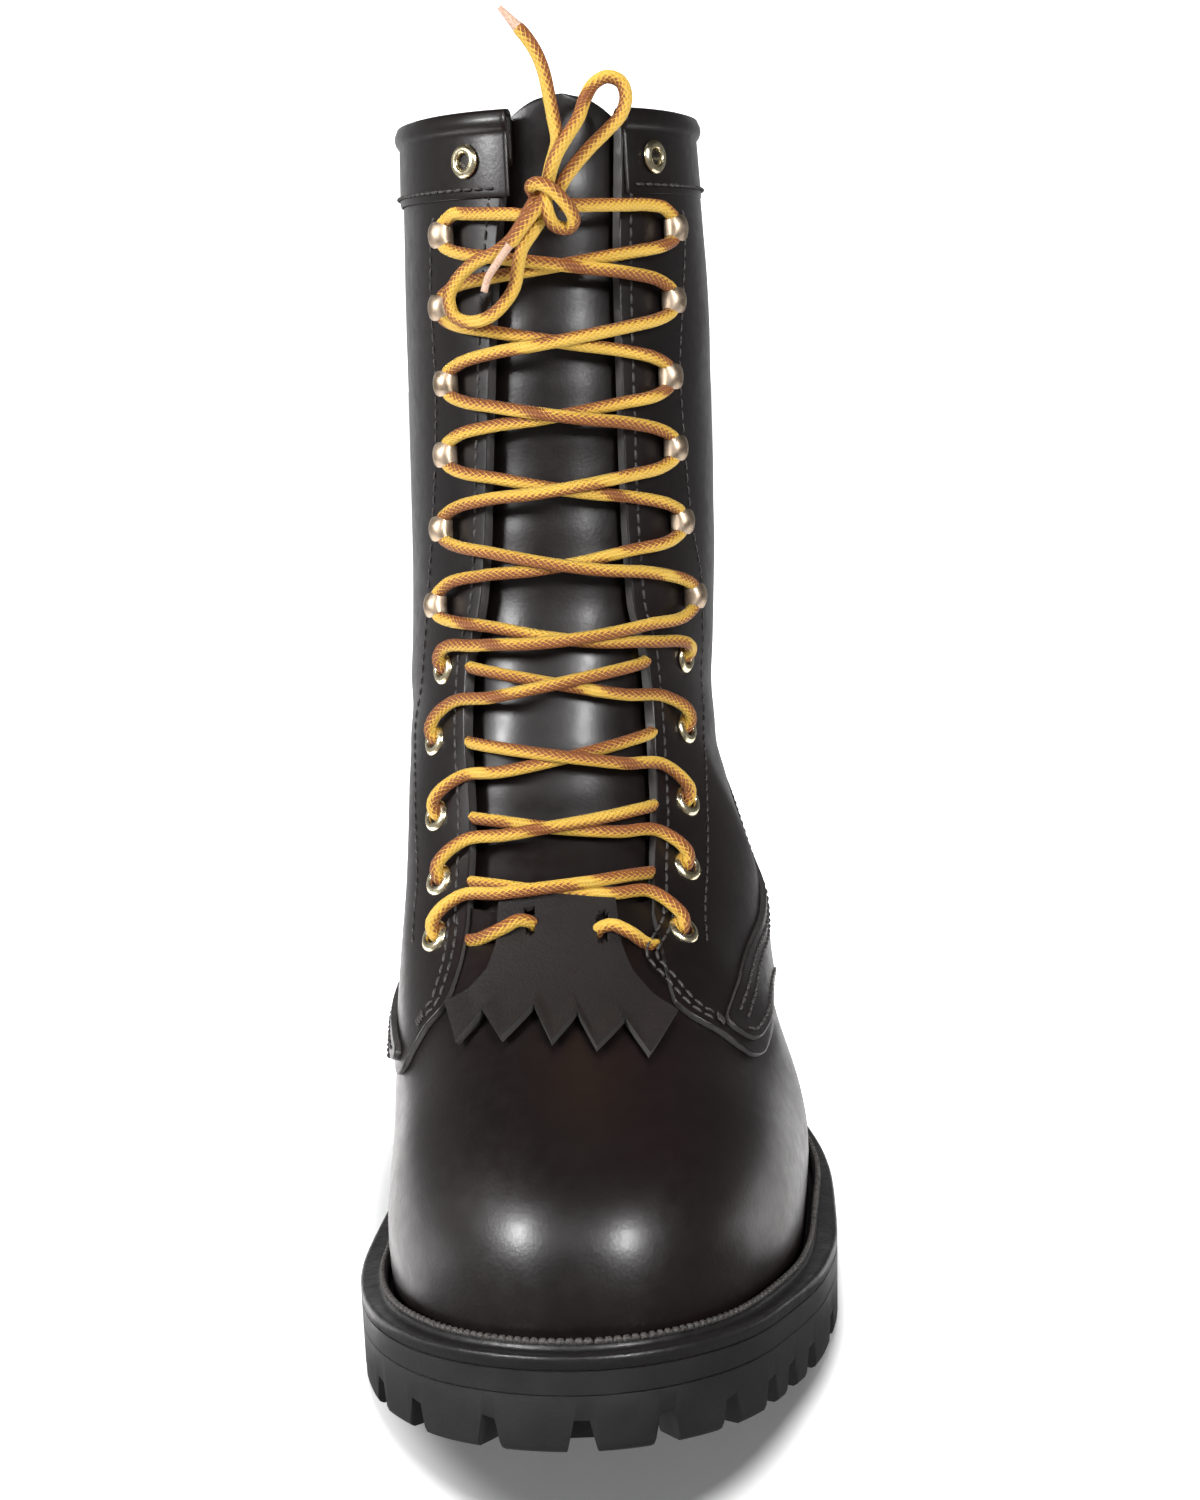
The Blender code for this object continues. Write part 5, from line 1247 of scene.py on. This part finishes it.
# Eyelets and hooks
eyeletShape = columnsOf(
    "radius height",
    (0.0021, -0.0026), (0.00205, 0.0002), (0.0022, 0.0007), (0.0025, 0.00100), (0.0031, 0.0011),
    (0.0037, 0.0009), (0.0042, 0.00050), (0.00445, 0.0001), (0.0044, -0.0001), (0.0029, -0.0001),
    (0.0029, -0.0026))
hookShape = columnsOf(
    "out up wide",
    (0.0040, 0.0000, 0.0014), (0.0034, 0.0000, 0.0028), (0.0020, 0.0000, 0.0034),
    (0.0004, 0.0000, 0.0033), (-0.0010, 0.0000, 0.0028), (-0.0020, 0.0003, 0.0024),
    (-0.0027, 0.0011, 0.0022), (-0.0029, 0.0022, 0.0021), (-0.0028, 0.0034, 0.0022),
    (-0.0023, 0.0044, 0.0026), (-0.0013, 0.0052, 0.0031), (0.0002, 0.0056, 0.0034),
    (0.0016, 0.0055, 0.0033), (0.0028, 0.0050, 0.0026), (0.0034, 0.0045, 0.0012))
metalLook = {
    "eyeletSteps": 28, "hookMetal": 0.0008, "hookStand": 0.0009,
    "hookDome": 0.0013, "domeRise": (0.0026, 0.0054), "domeHalf": 0.0034,
}


def turnedParts(rows, steps):
    angles = np.linspace(0, 2 * math.pi, steps, endpoint=False)
    section = list(zip(rows["radius"], rows["height"]))
    points = np.array([(r * math.cos(a), r * math.sin(a), z) for a in angles for r, z in section])
    count = len(rows["radius"])
    faces = []
    for k in range(steps):
        n = (k + 1) % steps
        for a in range(count):
            b = (a + 1) % count
            faces.append((k * count + a, n * count + a, n * count + b, k * count + b))
    return points, [face[::-1] for face in faces]


def hookParts():
    line = evenly(np.stack([hookShape["out"], hookShape["up"], hookShape["wide"]], 1), 40)
    across = np.linspace(-1, 1, 15)
    rise = ease(*metalLook["domeRise"], line[:, 1])[:, None]
    y = line[:, 2:] * np.sin(across * math.pi / 2)[None]
    x = np.broadcast_to(line[:, :1], y.shape)
    z = line[:, 1:2] - metalLook["hookDome"] * rise * (y / metalLook["domeHalf"]) ** 2
    outer = np.stack([x, y, z], 2)
    normal = np.cross(np.gradient(outer, axis=0), np.gradient(outer, axis=1))
    normal /= np.linalg.norm(normal, axis=2)[..., None] + 1e-12
    return closedSheet(outer, outer - normal * metalLook["hookMetal"])[:2]


def standOn(place, lift, side):
    # turn and place with +Z along the normal and +X away from the throat
    point, normal = formAt(place[0], place[1], lift), normalAt(place[0], place[1])
    out = np.array((side, 0.0, 0.0))
    out = out - normal * np.dot(out, normal)
    out /= np.linalg.norm(out)
    return point, np.stack([out, np.cross(normal, out), normal], 1)


hardwareFrames = {}
hardware, hardwareNodes = {"eyelet": [], "hook": []}, {"eyelet": [], "hook": []}
bases = {"eyelet": turnedParts(eyeletShape, metalLook["eyeletSteps"]), "hook": hookParts()}
for row in range(len(lacingRows["z"])):
    for side in (-1, 1):
        z, x = float(lacingRows["z"][row]), side * float(lacingRows[sideNames[side]][row])
        kind = "hook" if lacingRows["hook"][row] > 0 else "eyelet"
        lift = leather["step"] + (metalLook["hookStand"] if kind == "hook" else 0.0)
        lift = lift + (leather["bandThick"] if row == 0 else 0)
        point, turn = standOn(frontPlace(z, x), lift, side)
        hardwareFrames[row, side] = (point, turn)
        hardware[kind].append((bases[kind][0] @ turn.T + point, bases[kind][1]))
        hardwareNodes[kind].append(f"{kind}_{sideNames[side]}_{row + 1:02d}")
for kind, metal in (("eyelet", eyeletBrass), ("hook", hookMetal)):
    points, faces = joinParts(hardware[kind])
    settle(addPiece(f"{kind}s", points, faces, [metal]), "brass", *hardwareNodes[kind])
print("eyelets and hooks set")


# Lace: out of each eyelet, over the throat and behind the other side; round each hook; then to the knot
laceLift = {
    "over": 0.0056, "under": 0.0026, "hook": 0.0026, "edge": 0.0038, "between": 0.0046, "knot": 0.0050,
}
laceWay = {
    "arc": 1.7, "endRise": 0.0010, "shares": (0.14, 0.32, 0.52, 0.72, 0.88),
    "eyelet": ((0.0, -0.0006, -0.0034), (-0.0002, 0.0002, 0.0), (-0.0007, 0.0014, 0.0018),
               (-0.0017, 0.0027, 0.0025), (-0.0036, 0.0037, 0.0029)),   # from the hole: out, up, off
    "hook": ((-0.0062, -0.0050), (-0.0030, -0.0040), (-0.0004, -0.0026), (0.0006, 0.0), (-0.0004, 0.0026),
             (-0.0030, 0.0040), (-0.0062, 0.0050)),                     # round the neck: out, up
    "behind": ((0.0, -0.0010, 0.0008), (0.0003, 0.0040, -0.0022), (0.0004, 0.0080, -0.0030)),
    "knot": {-1: ((-0.0074, -0.0098, 0.2757), (-0.0040, -0.0108, 0.2775)),
             1: ((0.0038, -0.0100, 0.2777), (0.0000, -0.0108, 0.2780))},
    "steps": 70, "longSteps": 520, "slotSteps": 40,
}


def throatPoint(z, x, lift):
    run = runAtHeight(z)
    return formAt(run, acrossAt(run, x), lift)


def placesAt(row, side, local):
    # places given beside a hook or an eyelet
    point, turn = hardwareFrames[row, side]
    upSign = 1 if turn[2, 1] > 0 else -1
    return [point + turn @ np.array((a, b * upSign, c)) for a, b, c in local]


def hookTurn(row, side):
    return placesAt(row, side, [(*place, laceLift["hook"]) for place in laceWay["hook"]])


def acrossThroat(route, zEnd, side, lift):
    # one smooth arc from the last place of the route to the far edge of the throat, and behind it
    other = -side
    start = route[-1]
    edge = other * float(readRow(throatEdges, sideNames[other], zEnd, "z"))
    for share in laceWay["shares"]:
        bow = math.sin(math.pi * share)
        z = start[2] + (zEnd - start[2]) * (1 - (1 - share) ** laceWay["arc"])
        x = start[0] + (edge - start[0]) * share
        flat = laceLift["edge"] * (1 - 0.55 * share)
        route.append(throatPoint(z, x, flat + (lift - laceLift["edge"]) * bow))
    route += [throatPoint(zEnd + up, edge + other * out, off) for up, out, off in laceWay["behind"]]


laceLines = []
for row in range(11, 7, -1):
    for side in (-1, 1):
        route = placesAt(row, side, laceWay["eyelet"])
        over = (side < 0) == (row != 9)   # in one crossing the outer side's lace lies on top
        zEnd = float(lacingRows["z"][row - 1]) + laceWay["endRise"]
        acrossThroat(route, zEnd, side, laceLift["over" if over else "under"])
        laceLines.append(evenly(np.array(route), laceWay["steps"]))
for side in (-1, 1):
    route = placesAt(7, side, laceWay["eyelet"])
    for row, hookSide in zip(range(6, 0, -1), (-side, side, -side, side, -side, side)):
        turned = hookTurn(row, hookSide)
        start, end = route[-1], turned[0]
        over = (hookSide > 0) == (row % 2 == 0)
        rise = laceLift["over" if over else "under"] - laceLift["between"]
        for share in (0.2, 0.4, 0.6, 0.8):
            bow = math.sin(math.pi * share)
            x, z = (start + (end - start) * share)[[0, 2]]
            route.append(throatPoint(z, x, laceLift["between"] + rise * bow))
        route += turned
    start = route[-1]
    entry, inside = np.array(laceWay["knot"][side])
    lift = laceLift["knot"]
    for share in (0.25, 0.55, 0.8):
        x, z = (start + (entry - start) * share)[[0, 2]]
        route.append(throatPoint(z, x, lift) + (entry - throatPoint(entry[2], entry[0], lift)) * share ** 2)
    route += [entry, inside]
    laceLines.append(evenly(np.array(route), laceWay["longSteps"]))
for side, (slotX, slotZ) in zip((-1, 1), slotPlaces):   # lowest bar, from the edge into the kiltie's slot
    edge = side * float(readRow(throatEdges, sideNames[side], slotZ, "z"))
    over = leather["kiltieThick"] + lace["radius"] + 0.0006
    route = [throatPoint(slotZ - 0.0040, edge + side * 0.006, -0.0022),
             throatPoint(slotZ - 0.0035, edge - side * 0.002, 0.0008),
             throatPoint(slotZ - 0.0020, slotX + side * 0.0060, over),
             throatPoint(slotZ - 0.0004, slotX + side * 0.0020, over),
             throatPoint(slotZ, slotX - side * 0.0004, over - 0.0016),
             throatPoint(slotZ + 0.0002, slotX - side * 0.0012, -0.0010)]
    laceLines.append(evenly(np.array(route), laceWay["slotSteps"]))
laceNodes = [f"lace_cross_{k:02d}" for k in range(1, 11)]
laceNodes += ["lace_bar_top", "lace_bar_low_medial", "lace_bar_low_lateral"]
settle(lacePiece("lace_crossings", laceLines), "lace_cord", *laceNodes)
print("lace run:", len(laceLines), "strands")


# Stitches: short threads that dip at their ends, along a path on the leather
stitchLook = {
    "length": 0.0027, "gap": 0.0007, "radius": 0.00042, "fineRadius": 0.00032, "sides": 6,
    "rows": (0.0026, 0.0052), "throatRow": 0.0034, "facingRow": 0.0058, "backRow": 0.0034,
    "counterLow": 0.0022,
    "facingHeights": (0.278, 0.090), "backFrom": 0.150, "bandClear": 0.021, "seamTo": 0.0775,
    "bars": 4, "barPitch": 0.0009, "barHalf": (0.0, 0.0014, 0.0003), "barPlace": (0.0, 0.0042, -0.0012),
    "barLift": 0.0002,
}
stitchShape = columnsOf(
    "share sink size", (0.0, -0.9, 0.55), (0.12, -0.1, 0.9), (0.35, 0.35, 1.0),
    (0.65, 0.35, 1.0), (0.88, -0.1, 0.9), (1.0, -0.9, 0.55))


def stitchParts(points, normals, length, radius, gap):
    at = lengthsAlong(points)
    pitch = length + gap
    sink, size = stitchShape["sink"] * radius, radius * stitchShape["size"]
    parts = []
    for start in np.arange(pitch * 0.4, at[-1] - length, pitch):
        want = start + stitchShape["share"] * length
        line = np.stack([np.interp(want, at, points[:, k]) for k in range(3)], 1)
        normal = np.stack([np.interp(want, at, normals[:, k]) for k in range(3)], 1)
        parts.append(tubeParts(line + normal * sink[:, None], size, stitchLook["sides"]))
    return parts


def besideLine(path, distance, side, count=170):
    # a line on the form beside another one, to the side given by the sign
    path = evenPath(path, count)
    points, normals = formAt(path[:, 0], path[:, 1]), normalAt(path[:, 0], path[:, 1])
    inward = np.cross(np.gradient(points, axis=0), normals) * side
    inward /= np.linalg.norm(inward, axis=1)[:, None]
    return onForm(points + inward * distance)


def stitchesAlong(path, lift, wave=True, radius=stitchLook["radius"]):
    points, normals = formAt(path[:, 0], path[:, 1]), normalAt(path[:, 0], path[:, 1])
    lifts = lift + (leatherWave(formAt(path[:, 0], path[:, 1], leather["step"])) if wave else 0)
    lifted = points + normals * np.broadcast_to(lifts, len(points))[:, None]
    return stitchParts(lifted, normals, stitchLook["length"], radius, stitchLook["gap"])


threads = []
for side in (1, -1):
    throat, seam = throatPaths[side], seamPaths[side]
    tabEnd = int(np.argmin(np.abs(formAt(seam[:150, 0], seam[:150, 1])[:, 2] - stitchLook["seamTo"])))
    front = np.concatenate([throat[throat[:, 0] < form["throatRun"] + 0.012], seam[1:tabEnd]])
    for distance in stitchLook["rows"]:
        threads += stitchesAlong(besideLine(front, distance, -side), leather["step"])
    upper = throat[throat[:, 0] > form["throatRun"] - 0.004]
    threads += stitchesAlong(besideLine(upper, stitchLook["throatRow"], -side), leather["step"])
    heights = np.linspace(*stitchLook["facingHeights"], 34)
    rowX = readRow({"z": lacingRows["z"][::-1], "x": lacingRows[sideNames[side]][::-1]}, "x", heights, "z")
    facing = [frontPlace(z, side * (x + stitchLook["facingRow"])) for z, x in zip(heights, rowX)]
    facing = evenPath(np.array(facing), 170)
    threads += stitchesAlong(facing, leather["step"], radius=stitchLook["fineRadius"])
    backRuns = np.linspace(stitchLook["backFrom"], form["collarRun"] - stitchLook["bandClear"], 90)
    backAcross = side * 1.0 - side * stitchLook["backRow"] / halfLength(backRuns, side)
    threads += stitchesAlong(np.stack([backRuns, backAcross], 1), leather["step"])
    tab = formAt(seam[tabEnd:tabEnd + 1, 0], seam[tabEnd:tabEnd + 1, 1])[0]
    tab = tab + np.array(stitchLook["barPlace"])
    for number in range(stitchLook["bars"]):   # close short stitches at the end of the seam
        place = tab + np.array((0.0, 0.0, stitchLook["barPitch"] * number))
        bar = onForm(np.stack([place + np.array(stitchLook["barHalf"]) * t for t in (-1, -0.4, 0.4, 1)]))
        lift = np.full(4, leather["step"] + stitchLook["barLift"])
        points = formAt(bar[:, 0], bar[:, 1], lift)
        radii = stitchLook["radius"] * np.array((0.6, 1.0, 1.0, 0.6))
        threads.append(tubeParts(points, radii, stitchLook["sides"]))
bandEnd = collar["stitchEnd"]
bandSpots = np.linspace(bandAcross[0] + bandEnd, bandAcross[-1] - bandEnd, collar["stitchSteps"])
bandRow = np.stack([np.full(len(bandSpots), form["collarRun"] - collar["stitchDrop"]), bandSpots], 1)
threads += stitchesAlong(bandRow, leather["step"] + leather["bandThick"], wave=False)
counterTop = leather["step"] + leather["counterGap"] + leather["counterThick"]
lateralTop, medialTop = counterChains[1][1], counterChains[-1][1]
topRow = np.concatenate([lateralTop, (medialTop * (1, -1) + (0, 2))[-2::-1]])
for distance in stitchLook["rows"]:
    line = besideLine(topRow, distance, 1, 480)
    threads += stitchesAlong(line[4:-4], counterTop)
for side in (1, -1):
    lower = counterChains[side][0]
    lower = lower[(lower[:, 0] > 0.012) & (lower[:, 1] > starts[side] + 0.02)] * (1, side)
    threads += stitchesAlong(besideLine(lower, stitchLook["counterLow"], -side, 150), counterTop)
points, faces = joinParts(threads)
settle(addPiece("upper_stitches", points, faces, [blackThread]), "black_leather")
print("stitches sewn:", len(threads))


# Sole: welt, midsole, lugged outsole and heel
sole = {
    "midsole": 0.0055, "gap": 0.0003, "insole": 0.0035, "insoleClear": 0.0015,
    "breast": 0.0720, "breastGap": 0.0015, "liftThick": 0.0120, "undershot": 0.0085, "taper": 0.94,
    "heelSteps": 60, "heelLayers": ((0.40, 0.0270), (0.56, 0.0196)),   # share of the way down, height
    "lugDepth": 0.0080, "lugReach": 0.0130, "notchWide": 0.0062, "notchNarrow": 0.0034, "blockLow": -0.006,
    "notches": (-0.146, -0.126, -0.106, -0.086, -0.0661, -0.0484, -0.0249, -0.0029, 0.0163, 0.0349, 0.0515,
                0.0625, 0.0740, 0.0920, 0.1100, 0.1280, 0.1460),  # along the rim from the toe
    "grooveWide": 0.0055, "groovePitch": 0.0220, "grooveMiddle": -0.068, "grooveEnd": 0.005,
    "stations": 150, "bevel": 0.0007,
}


def stackPiece(name, levels, material, sharp=35):
    # skin through levels of lateral and medial edges, closed at the top and bottom
    made = bmesh.new()
    rows = [[[made.verts.new(p) for p in edge] for edge in level] for level in levels]
    for upper, lower in zip(rows, rows[1:]):
        for k in (0, 1):
            for a in range(len(upper[k]) - 1):
                made.faces.new((upper[k][a], upper[k][a + 1], lower[k][a + 1], lower[k][a]))
        for a in (0, -1):
            made.faces.new((upper[0][a], upper[1][a], lower[1][a], lower[0][a]))
    for lateral, medial in (rows[0], rows[-1]):
        for a in range(len(lateral) - 1):
            made.faces.new((lateral[a], lateral[a + 1], medial[a + 1], medial[a]))
    bmesh.ops.remove_doubles(made, verts=made.verts[:], dist=1e-5)
    bmesh.ops.dissolve_degenerate(made, edges=made.edges[:], dist=1e-6)
    bmesh.ops.recalc_face_normals(made, faces=made.faces[:])
    bmesh.ops.translate(made, vec=(-form["middleX"], 0, 0), verts=made.verts[:])
    mesh = bpy.data.meshes.new(name)
    made.to_mesh(mesh)
    made.free()
    mesh.materials.append(material)
    mesh.polygons.foreach_set("use_smooth", np.full(len(mesh.polygons), True))
    mesh.set_sharp_from_angle(angle=math.radians(sharp))
    piece = bpy.data.objects.new(name, mesh)
    bpy.context.scene.collection.objects.link(piece)
    return piece


def edgesAt(inset, height, first=form["toeY"], last=form["heelY"]):
    sides = soleOutline(sole["stations"], inset, first, last)
    return [np.column_stack([edge, height(edge[:, 1])]) for edge in sides]


def cutBlock(made, place, lower, upper):
    loops = []
    for length, width, height in (lower, upper):
        corners = ((-length, -width), (length, -width), (length, width), (-length, width))
        loops.append([made.verts.new(place @ Vector((a, b, height))) for a, b in corners])
    made.faces.new(loops[0][::-1])
    made.faces.new(loops[1])
    for k in range(4):
        n = (k + 1) % 4
        made.faces.new((loops[0][k], loops[0][n], loops[1][n], loops[1][k]))


def carved(piece, blocks, sharp=32):
    # cut the tread out of a piece and round the cut edges
    bmesh.ops.recalc_face_normals(blocks, faces=blocks.faces[:])
    bmesh.ops.translate(blocks, vec=(-form["middleX"], 0, 0), verts=blocks.verts[:])
    mesh = bpy.data.meshes.new("treadBlocks")
    blocks.to_mesh(mesh)
    blocks.free()
    tool = bpy.data.objects.new("treadBlocks", mesh)
    bpy.context.scene.collection.objects.link(tool)
    cut = piece.modifiers.new("tread", "BOOLEAN")
    cut.operation, cut.solver, cut.object, cut.use_self = "DIFFERENCE", "EXACT", tool, True
    rounded = piece.modifiers.new("rounded", "BEVEL")
    rounded.width, rounded.segments, rounded.limit_method = sole["bevel"], 2, "ANGLE"
    rounded.angle_limit = math.radians(40)
    bpy.context.view_layer.update()
    result = bpy.data.meshes.new_from_object(piece.evaluated_get(bpy.context.evaluated_depsgraph_get()))
    piece.modifiers.clear()
    piece.data = result
    result.polygons.foreach_set("use_smooth", np.full(len(result.polygons), True))
    result.set_sharp_from_angle(angle=math.radians(sharp))
    bpy.data.objects.remove(tool)
    return piece


def outsoleTop(y):
    return soleTop(y) - sole["midsole"] - sole["gap"]


midsole = stackPiece("midsole_layer", [
    edgesAt(0.0003, lambda y: soleTop(y) + 0.0002), edgesAt(0.0, soleTop),
    edgesAt(0.0, lambda y: soleTop(y) - sole["midsole"] + 0.0001),
    edgesAt(0.0003, lambda y: soleTop(y) - sole["midsole"] - 0.0001)], soleRubber)
settle(midsole, "edge_leather", "midsole")
outsoleEdges = (   # inset, the surface it follows and the height over it
    (0.0003, outsoleTop, 0.0001), (0.0, outsoleTop, -0.0001), (0.0, soleGround, 0.0020),
    (0.0004, soleGround, 0.0007), (0.0014, soleGround, 0.0))
outsoleLevels = []
for inset, surface, rise in outsoleEdges:
    outsoleLevels.append(edgesAt(inset, lambda y: surface(y) + rise, last=sole["breast"]))
outsole = stackPiece("lugged_outsole", outsoleLevels, soleRubber)
outline = soleOutline(300, 0.0, form["toeY"], sole["breast"])
rim = np.concatenate([outline[1][::-1], outline[0][1:]])
rimAt = lengthsAlong(rim)
toeAt = rimAt[len(outline[1]) - 1]
blocks = bmesh.new()
for notch in sole["notches"]:
    at = toeAt + notch
    spot = np.array([np.interp(at, rimAt, rim[:, k]) for k in (0, 1)])
    ahead = np.array([np.interp(at + 0.002, rimAt, rim[:, k]) for k in (0, 1)]) - spot
    turn = Matrix.Rotation(math.atan2(ahead[0], -ahead[1]), 4, "Z")
    place = Matrix.Translation((spot[0], spot[1], float(soleGround(spot[1])))) @ turn
    cutBlock(blocks, place, (sole["lugReach"], sole["notchWide"] * 0.75, sole["blockLow"]),
             (sole["lugReach"], sole["notchNarrow"] / 2, sole["lugDepth"]))
for number in range(-3, 4):
    y = sole["grooveMiddle"] + number * sole["groovePitch"]
    width = float(np.interp(y, outline[0][:, 1], outline[0][:, 0] - outline[1][:, 0]))
    reach = width / 2 - sole["lugReach"] - sole["grooveEnd"]
    place = Matrix.Translation((float(readRow(solePlan, "centre", y)), y, float(soleGround(y))))
    cutBlock(blocks, place, (reach, sole["grooveWide"] * 0.65, sole["blockLow"]),
             (reach, sole["grooveWide"] / 2, sole["lugDepth"] * 0.75))
settle(carved(outsole, blocks), "sole_rubber", "outsole")


def heelEdges(share, height, inset=0.0):
    # edges of the heel, narrowed and drawn forward by the share of the way down
    first = sole["breast"] + sole["breastGap"]
    back = 1 - share * sole["undershot"] / (form["heelY"] - sole["breast"])
    scale = np.array((1 - share * (1 - sole["taper"]), back))
    shift = np.array((0.0, first * (1 - back) + share * 0.003))
    sides = [edge * scale + shift for edge in soleOutline(sole["heelSteps"], inset, first, form["heelY"])]
    return [np.column_stack([edge, height(edge[:, 1])]) for edge in sides]


def levelAt(z):
    return lambda y: np.full(len(y), z)


heelLevels = [heelEdges(0.0, outsoleTop, 0.0003), heelEdges(0.01, lambda y: outsoleTop(y) - 0.0005)]
for share, z in sole["heelLayers"]:
    heelLevels += [heelEdges(share - 0.01, levelAt(z + 0.0004)), heelEdges(share, levelAt(z), 0.0003),
                   heelEdges(share + 0.01, levelAt(z - 0.0004))]
heelLevels += [heelEdges(0.70, levelAt(sole["liftThick"] + 0.0008)),
               heelEdges(0.72, levelAt(sole["liftThick"] + sole["gap"]), 0.0004)]
settle(stackPiece("heel_block", heelLevels, soleRubber), "edge_leather", "heel_stack")
heelLift = stackPiece("heel_top_lift", [
    heelEdges(0.72, levelAt(sole["liftThick"]), 0.0004),
    heelEdges(0.73, levelAt(sole["liftThick"] - 0.0005)),
    heelEdges(0.97, levelAt(0.0014)), heelEdges(1.0, levelAt(0.0), 0.0006)], soleRubber)
blocks = bmesh.new()
lateral, medial = heelEdges(1.0, levelAt(0.0))
for number in (3, 6, 9):
    for edge in (lateral, medial):
        spot = edge[round(number * sole["heelSteps"] / 14)]
        cutBlock(blocks, Matrix.Translation((spot[0], spot[1], 0.0)),
                 (sole["lugReach"], sole["notchWide"] * 0.7, sole["blockLow"]),
                 (sole["lugReach"], sole["notchNarrow"] / 2, sole["lugDepth"] * 0.7))
settle(carved(heelLift, blocks), "sole_rubber", "heel_lift")
insoleTop = sole["insole"] + form["seatGap"]


def insoleInset(extra):
    return lambda y: weltWidth(y) + leather["vampWall"] + sole["insoleClear"] + extra


insole = stackPiece("insole_board", [
    edgesAt(insoleInset(0.0012), lambda y: soleTop(y) + insoleTop),
    edgesAt(insoleInset(0.0003), lambda y: soleTop(y) + insoleTop - 0.0004),
    edgesAt(insoleInset(0.0), lambda y: soleTop(y) + insoleTop - 0.0012),
    edgesAt(insoleInset(0.0), lambda y: soleTop(y) + form["seatGap"])], insoleLeather)
settle(insole, "insole_leather", "insole")


# Welt: rounded edge, flat deck and the raised lip beside the upper, with beads of stitches on it
welt = {
    "gap": 0.0009, "thick": 0.0036, "lipWide": 0.0024, "lipShare": 0.45, "stations": 200,
    "stitchAt": 0.55, "stitchRise": 0.0016, "stitch": (0.0016, 0.00075, 0.0004),   # length, radius, gap
}


def weltInner(y):
    return weltWidth(y) - welt["gap"] - leather["step"] * ease(*leather["wingRun"], y)


def weltLip(part):
    return lambda y: weltInner(y) - np.minimum(welt["lipWide"], weltInner(y) * welt["lipShare"]) * part


weltLow = sole["gap"]
deck = weltLow + welt["thick"]
weltShape = (   # inset and height over the sole's top
    (weltInner, weltLow + 0.0001), (0.0002, weltLow + 0.0001), (0.0, weltLow + 0.0002), (0.0, deck - 0.0011),
    (0.0002, deck - 0.0005), (0.0006, deck - 0.0001), (0.0011, deck), (weltLip(1.25), deck - 0.0002),
    (weltLip(1.05), deck - 0.0001), (weltLip(0.95), deck + 0.0005), (weltLip(0.75), deck + 0.0013),
    (weltLip(0.45), deck + 0.0016), (weltLip(0.18), deck + 0.0014), (weltInner, deck + 0.0008))
weltRings = []
for inset, height in weltShape:
    lateral, medial = soleOutline(welt["stations"], inset)
    loop = np.concatenate([lateral, medial[-2:0:-1]])
    weltRings.append(np.column_stack([loop, soleTop(loop[:, 1]) + height]))
count, wide = len(weltRings), len(weltRings[0])
faces = []
for i in range(count):
    n = (i + 1) % count
    for j in range(wide):
        m = (j + 1) % wide
        faces.append((i * wide + j, i * wide + m, n * wide + m, n * wide + j))
weltPiece = addPiece("stitched_welt", np.concatenate(weltRings), faces, [weltLeather])
settle(weltPiece, "edge_leather", "welt")
lateral, medial = soleOutline(2 * welt["stations"], weltLip(welt["stitchAt"]))
loop = np.concatenate([lateral, medial[-2::-1]])
loop = np.column_stack([loop, soleTop(loop[:, 1]) + deck + welt["stitchRise"]])
upward = np.broadcast_to((0.0, 0.0, 1.0), loop.shape)
points, faces = joinParts(stitchParts(loop, upward, *welt["stitch"]))
settle(addPiece("welt_stitches", points, faces, [weltThread]), "edge_leather")
print("sole built")
